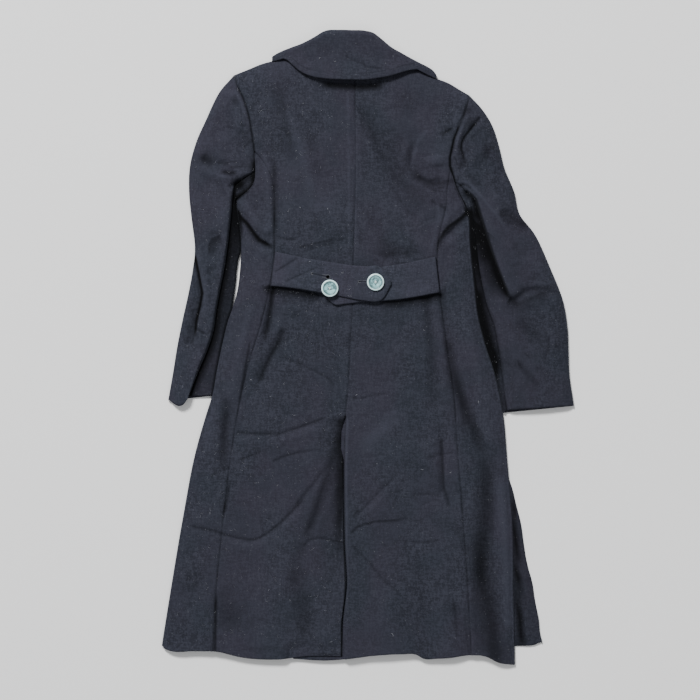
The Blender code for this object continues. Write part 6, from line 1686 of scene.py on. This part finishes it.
def make_button(name, x, y, turn, z, material):
    """A four-hole coat button turned from its profile, with its holes cut through."""
    bm = bmesh.new()
    line = [bm.verts.new(((x + r) * MM, y * MM, (z + h) * MM)) for r, h in button_profile()]
    edges = [bm.edges.new(pair) for pair in zip(line, line[1:])]
    bmesh.ops.spin(bm, geom=line + edges, cent=(x * MM, y * MM, z * MM), axis=(0, 0, 1), angle=2 * pi,
                   steps=BUTTON_SIDES, use_merge=True)
    bmesh.ops.remove_doubles(bm, verts=bm.verts, dist=0.005 * MM)
    bmesh.ops.recalc_face_normals(bm, faces=bm.faces)
    button = linked(name, mesh_from(bm, name))
    bm = bmesh.new()
    for k in range(4):
        made = bmesh.ops.create_cone(bm, cap_ends=True, segments=HOLE_SIDES, radius1=HOLE_RADIUS * MM,
                                     radius2=HOLE_RADIUS * MM, depth=6 * BUTTON_THICK * MM)
        angle = turn + pi / 4 + k * pi / 2
        place = ((x + HOLE_SPACING * cos(angle)) * MM, (y + HOLE_SPACING * sin(angle)) * MM, z * MM)
        bmesh.ops.translate(bm, vec=place, verts=made["verts"])
    drill = linked("drill", mesh_from(bm, "drill"))
    cut = button.modifiers.new("holes", "BOOLEAN")
    cut.solver = "EXACT"
    cut.object = drill
    baked = evaluated(button)
    bpy.data.objects.remove(drill)
    bpy.data.objects.remove(button)
    places = np.empty(len(baked.vertices) * 3, np.float32)
    baked.vertices.foreach_get("co", places)
    from_middle = length_of(places.reshape(-1, 3)[:, :2] / MM - (x, y))
    # the pale rim, less a line of painted shade at the foot of the dish's slope
    rim = baked.attributes.new("rim", "FLOAT", "POINT")
    inside = BUTTON_RADIUS - RIM_WIDTH
    line = np.exp(-((from_middle - inside + RIM_LINE[0]) / RIM_LINE[1]) ** 2)
    rim.data.foreach_set("value", step(from_middle, inside - RIM_BLEND, inside) - line)
    return finished(name, baked, material, BUTTON_SHARP)


def button_height(x, y):
    """Where a button's back rests on the upper tab."""
    turn = np.linspace(0, 2 * pi, 24, endpoint=False)
    ring_x, ring_y = x + BUTTON_RADIUS * np.cos(turn), y + BUTTON_RADIUS * np.sin(turn)
    return float(np.max(tab_rest(ring_x, ring_y, True))) + SEAM


def thread_loops(name, x, y, turn, z, material):
    """Thread through a button's holes, as a cross of bundled strands."""
    bm = bmesh.new()
    whole, upper, middle = STRAND_LIFT
    for pair in range(2):
        for strand in range(STRANDS):
            angle = turn + pi / 4 + pair * pi / 2
            off = (strand - STRANDS // 2) * STRAND_SPACING
            points = []
            for t in np.linspace(-1, 1, STRAND_POINTS):
                along, narrow = HOLE_SPACING * t, 1 - STRAND_NARROWS * abs(t)
                dive = STRAND_DIVE * max(0.0, abs(t) - STRAND_DIVES_AT) / STRAND_DIVES_OVER
                lift = whole + upper * pair + middle * (1 - abs(t) ** 3) - dive
                px = x + along * cos(angle) - off * sin(angle) * narrow
                py = y + along * sin(angle) + off * cos(angle) * narrow
                points.append((px, py, z + BUTTON_THICK - STRAND_SUNK + lift))
            sweep(bm, np.array(points), STRAND_RADIUS, STRAND_SIDES)
    mesh = mesh_from(bm, name)
    close_outwards(mesh)
    return finished(name, mesh, material)


def sweep(bm, points, radius, sides):
    """A closed tube along points, in millimetres."""
    along = np.gradient(points, axis=0)
    along /= length_of(along)[:, None]
    across = np.cross(along, np.array([0, 0, 1.0]))
    across /= np.maximum(length_of(across), 1e-6)[:, None]
    up = np.cross(across, along)
    rings = []
    for k, point in enumerate(points):
        ring = [point + radius * (across[k] * cos(a) + up[k] * sin(a))
                for a in np.linspace(0, 2 * pi, sides, endpoint=False)]
        rings.append([bm.verts.new(p * MM) for p in ring])
    for first, second in zip(rings, rings[1:]):
        for j in range(sides):
            bm.faces.new((first[j], first[(j + 1) % sides], second[(j + 1) % sides], second[j]))
    bm.faces.new(rings[0][::-1])
    bm.faces.new(rings[-1])


def pearl_finish():
    """Pearly grey-green button: clouded, with a paler rim and a polished coat."""
    trim = bpy.context.scene.coat_trim
    pearl = tuple(trim.pearl)
    finish = Finish("pearl_button")
    cloud = finish.noise(0.006, 3, 0.6, 4.0)
    streak = finish.noise(0.010, 2, 0.7, 8.0, (1, 3.5, 1))
    colour = finish.mix(finish.ramp(cloud, 0.38, 0.62), scaled(pearl, 0.42), scaled(pearl, 1.35))
    colour = finish.mix(finish.ramp(streak, 0.50, 0.66) * 0.65, colour, (0.48, 0.80, 0.82, 1))
    rim = finish.make("ShaderNodeAttribute", {"attribute_name": "rim"}, output="Fac")
    # painted shade: the line inside the rim
    colour = finish.mix(finish.ramp(rim, 0, -1) * 0.7, colour, scaled(pearl, 0.3))
    colour = finish.mix(finish.ramp(rim, 0, 1) * (0.72 + 0.28 * cloud), colour, (0.76, 0.98, 0.99, 1))
    return finish.surface({"Base Color": colour, "Roughness": 0.24 + 0.14 * cloud, "Coat Weight": 0.5,
                           "Coat Roughness": 0.12}, cloud, 0.00012)


# ================================================================ lint and buttonhole stitches
class Tree:
    """A Geometry Nodes tree, run once on a mesh."""

    def __init__(self, name, inputs):
        self.tree = bpy.data.node_groups.new(name, "GeometryNodeTree")
        sockets = self.tree.interface
        sockets.new_socket(name="Geometry", in_out="OUTPUT", socket_type="NodeSocketGeometry")
        sockets.new_socket(name="Geometry", in_out="INPUT", socket_type="NodeSocketGeometry")
        self.keys = {key: sockets.new_socket(name=key, in_out="INPUT", socket_type=f"NodeSocket{kind}").identifier
                     for key, (kind, _) in inputs.items()}
        self.values = {key: value for key, (_, value) in inputs.items()}
        self.entry = self.tree.nodes.new("NodeGroupInput").outputs

    def make(self, kind, settings=None, inputs=None, output=0):
        """One node with its settings and inputs; gives one of its outputs."""
        node = self.tree.nodes.new(kind)
        for key, value in (settings or {}).items():
            setattr(node, key, value)
        for key, value in (inputs or {}).items():
            if isinstance(value, bpy.types.NodeSocket):
                self.tree.links.new(value, node.inputs[key])
            else:
                node.inputs[key].default_value = value
        return node.outputs[output]

    def random(self, low, high, seed):
        """A random number for each point."""
        return self.make("FunctionNodeRandomValue", {"data_type": "FLOAT"}, {2: low, 3: high, "Seed": seed}, 1)

    def run(self, instances, mesh, name):
        """Realize the instances, give them the material and return the mesh."""
        real = self.make("GeometryNodeRealizeInstances", None, {0: instances})
        dressed = self.make("GeometryNodeSetMaterial", None, {0: real, "Material": self.entry["Material"]})
        self.tree.links.new(dressed, self.tree.nodes.new("NodeGroupOutput").inputs[0])
        thing = linked(name, mesh)
        modifier = thing.modifiers.new("build", "NODES")
        modifier.node_group = self.tree
        for key, identifier in self.keys.items():
            modifier[identifier] = self.values[key]
        baked = evaluated(thing)
        thing.modifiers.remove(modifier)
        bpy.data.objects.remove(thing)
        baked.materials.clear()
        return baked


def strewn_lint(material):
    """Bent pale fibres strewn over every upper face, more of them where a noise is high."""
    cloth = bpy.context.scene.coat_cloth
    points, faces, area = [], [], 0.0
    for grid in SURFACES:
        start = sum(len(part) for part in points)
        index = start + np.arange(grid.shape[0] * grid.shape[1]).reshape(grid.shape[:2])
        points.append(grid.reshape(-1, 3) * MM)
        corners = quads(index)
        faces += corners.tolist()
        ends = np.concatenate(points)[corners][..., :2]
        area += np.abs(np.cross(ends[:, 2] - ends[:, 0], ends[:, 3] - ends[:, 1])).sum() / 2
    mesh = bpy.data.meshes.new("lint_ground")
    mesh.from_pydata(np.concatenate(points).tolist(), [], faces)
    if mesh.polygons[0].normal.z < 0:
        mesh.flip_normals()
    tree = Tree("lint", {"Density": ("Float", STREWN_EXCESS * cloth.lint / area), "Seed": ("Int", 11),
                         "Length": ("Float", STREWN_LENGTH * MM), "Material": ("Material", material)})
    cloud = tree.make("ShaderNodeTexNoise", None, {"Scale": 9.0, "Detail": 3.0, "Roughness": 0.6})
    share = tree.make("ShaderNodeMapRange", None, {0: cloud, 1: 0.42, 2: 0.72, 3: 0.12, 4: 1.0})
    density = tree.make("ShaderNodeMath", {"operation": "MULTIPLY"}, {0: share, 1: tree.entry["Density"]})
    strew = tree.make("GeometryNodeDistributePointsOnFaces", {"distribute_method": "RANDOM"},
                      {"Mesh": tree.entry["Geometry"], "Density": density, "Seed": tree.entry["Seed"]})
    arc = tree.make("GeometryNodeCurveQuadraticBezier", None,
                    {"Resolution": 3, "Start": (-0.5, 0, 0.02), "Middle": (0.05, 0.30, 0.09), "End": (0.5, 0, 0.02)})
    ring = tree.make("GeometryNodeCurvePrimitiveCircle", None, {"Resolution": 3, "Radius": STREWN_THICK})
    fibre = tree.make("GeometryNodeCurveToMesh", None, {0: arc, 1: ring, "Fill Caps": True})
    turn = tree.make("ShaderNodeCombineXYZ", None, {2: tree.random(0.0, 2 * pi, 3)})
    turn = tree.make("FunctionNodeEulerToRotation", None, {0: turn})
    lie = tree.make("FunctionNodeRotateRotation", {"rotation_space": "LOCAL"},
                    {0: strew.node.outputs["Rotation"], 1: turn})
    size = tree.make("ShaderNodeMath", {"operation": "MULTIPLY"},
                     {0: tree.entry["Length"], 1: tree.random(*STREWN_SIZES, 7)})
    spread = tree.make("GeometryNodeInstanceOnPoints", None,
                       {"Points": strew, "Instance": fibre, "Rotation": lie, "Scale": size})
    finished("lint", tree.run(spread, mesh, "lint_strewn"), material)


def surface_z(x, y):
    """Height of the topmost face at a point."""
    return max(grid[near][:, 2].max() for grid in SURFACES
               if (near := np.hypot(grid[..., 0] - x, grid[..., 1] - y) < SURFACE_NEAR).any())


def bright_lint(material):
    """The few large pieces of lint that the photograph shows, each a bent sweep."""
    bm = bmesh.new()
    for k, (px, py, length) in enumerate(LINT):
        x, y = (px - ORIGIN_PIXEL[0]) * PIXEL, (ORIGIN_PIXEL[1] - py) * PIXEL
        z, turn = surface_z(x, y) + LINT_ABOVE, LINT_TURN * k + LINT_FIRST_TURN
        along, across = np.array([cos(turn), sin(turn), 0]), np.array([-sin(turn), cos(turn), 0])
        places = [(x, y, z) + along * length * (t - 0.5) + across * length * LINT_BOW * t * (1 - t)
                  for t in np.linspace(0, 1, LINT_POINTS)]
        sweep(bm, [tuple(place) for place in places], LINT_RADIUS, LINT_SIDES)
    finished("lint_bright", mesh_from(bm, "lint_bright"), material)


def purl_stitches(name, far, eye, material):
    """Stitches side by side round a keyhole buttonhole, lying across its edge."""
    trim = bpy.context.scene.coat_trim
    (x0, y0), (x1, y1) = far, eye
    along = np.array([x1 - x0, y1 - y0]) / np.hypot(x1 - x0, y1 - y0)
    across = np.array([-along[1], along[0]])
    turns = np.linspace(-PURL_TURN * pi, PURL_TURN * pi, PURL_POINTS)
    loop = [np.array(eye) + (EYELET_RADIUS + PURL_OUTSIDE) * (along * cos(t) + across * sin(t)) for t in turns]
    loop = [np.array(far) - across * PURL_SIDE] + loop + [np.array(far) + across * PURL_SIDE]
    mesh = bpy.data.meshes.new(name)
    mesh.from_pydata([(x * MM, y * MM, (surface_z(x, y) - PURL_SUNK) * MM) for x, y in loop],
                     [(k, (k + 1) % len(loop)) for k in range(len(loop))], [])
    tree = Tree(name, {"Spacing": ("Float", trim.stitch), "Material": ("Material", material)})
    line = tree.make("GeometryNodeMeshToCurve", None, {0: tree.entry["Geometry"]})
    marks = tree.make("GeometryNodeCurveToPoints", {"mode": "LENGTH"}, {0: line, "Length": tree.entry["Spacing"]})
    lie = tree.make("FunctionNodeAlignRotationToVector", {"axis": "X"}, {"Vector": marks.node.outputs["Tangent"]})
    bead = tree.make("GeometryNodeMeshUVSphere", None, {"Segments": 8, "Rings": 5, "Radius": 1.0})
    bead = tree.make("GeometryNodeTransform", None, {0: bead, "Scale": tuple(size * MM for size in PURL_BEAD)})
    spread = tree.make("GeometryNodeInstanceOnPoints", None, {"Points": marks, "Instance": bead, "Rotation": lie,
                                                              "Scale": tree.random(*PURL_SIZES, 5)})
    finished(f"{name}_purl", tree.run(spread, mesh, name), material)


def thread_finish(name, thread):
    """Twisted sewing thread, or pale fibres of wool."""
    finish = Finish(name)
    twist = finish.noise(0.0006, 1, 0.5, 2.0)
    colour = finish.mix(finish.ramp(twist, 0.4, 0.6), scaled(thread, 0.7), scaled(thread, 1.4))
    return finish.surface({"Base Color": colour, "Roughness": 0.6 + 0.1 * twist}, twist, 0.00015)


# ================================================================ operators
class COAT_OT_back(bpy.types.Operator):
    """Four back panels, with the vent between the middle two"""
    bl_idname = "coat.back"
    bl_label = "Back panels"

    def execute(self, context):
        for side, half, seed in (("left", LEFT, 0.0), ("right", RIGHT, 1.3)):
            wool = melton(f"melton_back_{side}", seed=seed)
            centre_piece = centre_panel(f"back_centre_{side}_cloth", half, *CENTRE_GRID, wool)
            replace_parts(centre_piece, f"back_centre_{side}")
            side_piece = side_panel(f"side_back_{side}_cloth", half, *SIDE_GRID, wool)
            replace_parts(side_piece, f"side_back_{side}")
        return {"FINISHED"}


class COAT_OT_fronts(bpy.types.Operator):
    """Both fronts, flat on the surface, the left one lapped over the right"""
    bl_idname = "coat.fronts"
    bl_label = "Fronts"

    def execute(self, context):
        for side, half, lap in (("right", RIGHT, LAP_LEFT), ("left", LEFT, LAP_RIGHT)):
            # the fronts' copy of the wool is darker: painted shade on the lower layer
            piece = front_panel(f"front_{side}_cloth", half, lap, melton(f"melton_front_{side}", 0.80, 2.6))
            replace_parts(piece, f"front_{side}")
        return {"FINISHED"}


class COAT_OT_sleeves(bpy.types.Operator):
    """Two-piece sleeves, pressed flat beside the body"""
    bl_idname = "coat.sleeves"
    bl_label = "Sleeves"

    def execute(self, context):
        # tone: light or shade painted on each sleeve's whole copy of the wool
        for half, tables, tone, seed in (
                (LEFT, (LEFT_SLEEVE, LEFT_SLEEVE_FOLDS, LEFT_SLEEVE_SHADES, LEFT_UNDER_SHADE), 1.0, 4.1),
                (RIGHT, (RIGHT_SLEEVE, RIGHT_SLEEVE_FOLDS, RIGHT_SLEEVE_SHADES, RIGHT_UNDER_SHADE), 0.93, 5.7)):
            side = half.name
            pieces = sleeve(half, *tables, melton(f"melton_sleeve_{side}", tone, seed))
            for piece, part in zip(pieces, ("top", "under")):
                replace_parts(piece, f"sleeve_{side}_{part}")
        return {"FINISHED"}


class COAT_OT_collar(bpy.types.Operator):
    """The collar, turned down over the back"""
    bl_idname = "coat.collar"
    bl_label = "Collar"

    def execute(self, context):
        # the collar's copy of the wool is a little darker: painted shade
        piece = make_collar(melton("melton_collar", 0.94, 7.2))
        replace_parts(piece, "collar")
        return {"FINISHED"}


class COAT_OT_belt(bpy.types.Operator):
    """Both tabs of the half-belt"""
    bl_idname = "coat.belt"
    bl_label = "Half-belt"

    def execute(self, context):
        # the belt's copy of the wool is lighter: painted light
        wool = melton("melton_belt", 1.19, 8.8)
        for name, table, upper in (("belt_left", UPPER_TAB, True), ("belt_right", LOWER_TAB, False)):
            piece = make_tab(f"{name}_cloth", table, upper, wool)
            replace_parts(piece, name)
        return {"FINISHED"}


class COAT_OT_buttons(bpy.types.Operator):
    """Two pearly buttons sewn on with crossed thread"""
    bl_idname = "coat.buttons"
    bl_label = "Buttons"

    def execute(self, context):
        pearl, thread = pearl_finish(), thread_finish("sewing_thread", tuple(context.scene.coat_trim.thread))
        for name, (x, y, turn) in BUTTONS.items():
            z = button_height(x, y)
            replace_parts(make_button(f"{name}_pearl", x, y, turn, z, pearl), name)
            thread_loops(f"{name}_thread", x, y, turn, z, thread)
        return {"FINISHED"}


class COAT_OT_trim(bpy.types.Operator):
    """Purl stitches round the buttonholes, and lint on the wool"""
    bl_idname = "coat.trim"
    bl_label = "Stitches and lint"

    def execute(self, context):
        purl = thread_finish("purl_thread", tuple(context.scene.coat_trim.purl))
        for side, (far, eye) in BUTTONHOLES.items():
            purl_stitches(f"buttonhole_{side}", far, eye, purl)
        pale = thread_finish("lint_wool", tuple(context.scene.coat_cloth.fibre))
        strewn_lint(pale)
        bright_lint(pale)
        return {"FINISHED"}


class COAT_OT_stage(bpy.types.Operator):
    """Pale floor, soft light from beyond the collar on the left, and the camera straight above"""
    bl_idname = "coat.stage"
    bl_label = "Stage"

    def execute(self, context):
        stage = context.scene.coat_stage
        self.make_floor(tuple(stage.floor))
        self.make_lights(stage.light)
        self.make_camera()
        return {"FINISHED"}

    def make_floor(self, colour):
        """A wide pale surface just under the coat."""
        bm = bmesh.new()
        bmesh.ops.create_grid(bm, x_segments=1, y_segments=1, size=FLOOR_SIZE)
        bmesh.ops.translate(bm, vec=(0, 0, -FLOOR_BELOW), verts=bm.verts)
        mesh = mesh_from(bm, "floor")
        finish = Finish("floor_paper")
        grain = finish.noise(0.02, 2, 0.5)
        tint = finish.mix(grain, scaled(colour, 0.99), colour)
        mesh.materials.append(finish.surface({"Base Color": tint, "Roughness": 0.9}))
        floor = linked("floor", mesh)

    def make_lights(self, strength):
        """A large soft light beyond the collar on the left, a weak one opposite, and an even sky."""
        world = bpy.data.worlds.new("studio")
        world.use_nodes = True
        sky = world.node_tree.nodes["Background"]
        sky.inputs["Color"].default_value = SKY
        sky.inputs["Strength"].default_value = SKY_STRENGTH * strength
        bpy.context.scene.world = world
        for name, place, size, power in LAMPS:
            lamp = bpy.data.lights.new(name, "AREA")
            lamp.shape, lamp.size, lamp.energy = "DISK", size, power * strength
            thing = linked(name, lamp)
            thing.location = place
            aim = -np.array(place)
            thing.rotation_euler = (np.arctan2(np.hypot(aim[0], aim[1]), -aim[2]), 0, np.arctan2(-aim[0], aim[1]))

    def make_camera(self):
        """Straight above, as far off as a long lens allows, so that nothing looks nearer than the rest."""
        camera = bpy.data.cameras.new("camera")
        camera.lens = camera.sensor_width * CAMERA_HEIGHT / (PICTURE * PIXEL * MM)
        camera.clip_end = 50.0
        thing = linked("camera", camera)
        thing.location = ((PICTURE / 2 - ORIGIN_PIXEL[0]) * PIXEL * MM, (ORIGIN_PIXEL[1] - PICTURE / 2) * PIXEL * MM,
                          CAMERA_HEIGHT)
        bpy.context.scene.camera = thing


class COAT_PT_panel(bpy.types.Panel):
    """Lists the coat's pieces"""
    bl_label = "Overcoat"
    bl_idname = "COAT_PT_panel"
    bl_space_type = "VIEW_3D"
    bl_region_type = "UI"
    bl_category = "Overcoat"

    def draw(self, context):
        for group in (context.scene.coat_cloth, context.scene.coat_trim, context.scene.coat_stage):
            for name in group.__annotations__:
                self.layout.prop(group, name)
        for operator in OPERATORS:
            self.layout.operator(operator.bl_idname)


GROUPS = {"coat_cloth": CoatCloth, "coat_trim": CoatTrim, "coat_stage": CoatStage}
OPERATORS = (COAT_OT_stage, COAT_OT_back, COAT_OT_fronts, COAT_OT_sleeves, COAT_OT_collar, COAT_OT_belt,
             COAT_OT_buttons, COAT_OT_trim)


def register():
    """Add the settings, the operators and the panel."""
    for name, group in GROUPS.items():
        bpy.utils.register_class(group)
        setattr(bpy.types.Scene, name, bpy.props.PointerProperty(type=group))
    for operator in OPERATORS:
        bpy.utils.register_class(operator)
    bpy.utils.register_class(COAT_PT_panel)


def unregister():
    """Take them away again."""
    bpy.utils.unregister_class(COAT_PT_panel)
    for operator in reversed(OPERATORS):
        bpy.utils.unregister_class(operator)
    for name, group in GROUPS.items():
        delattr(bpy.types.Scene, name)
        bpy.utils.unregister_class(group)


def main():
    """Register the add-on and build the coat."""
    register()
    for operator in OPERATORS:
        group, name = operator.bl_idname.split(".")
        getattr(getattr(bpy.ops, group), name)()


if __name__ == "__main__":
    main()
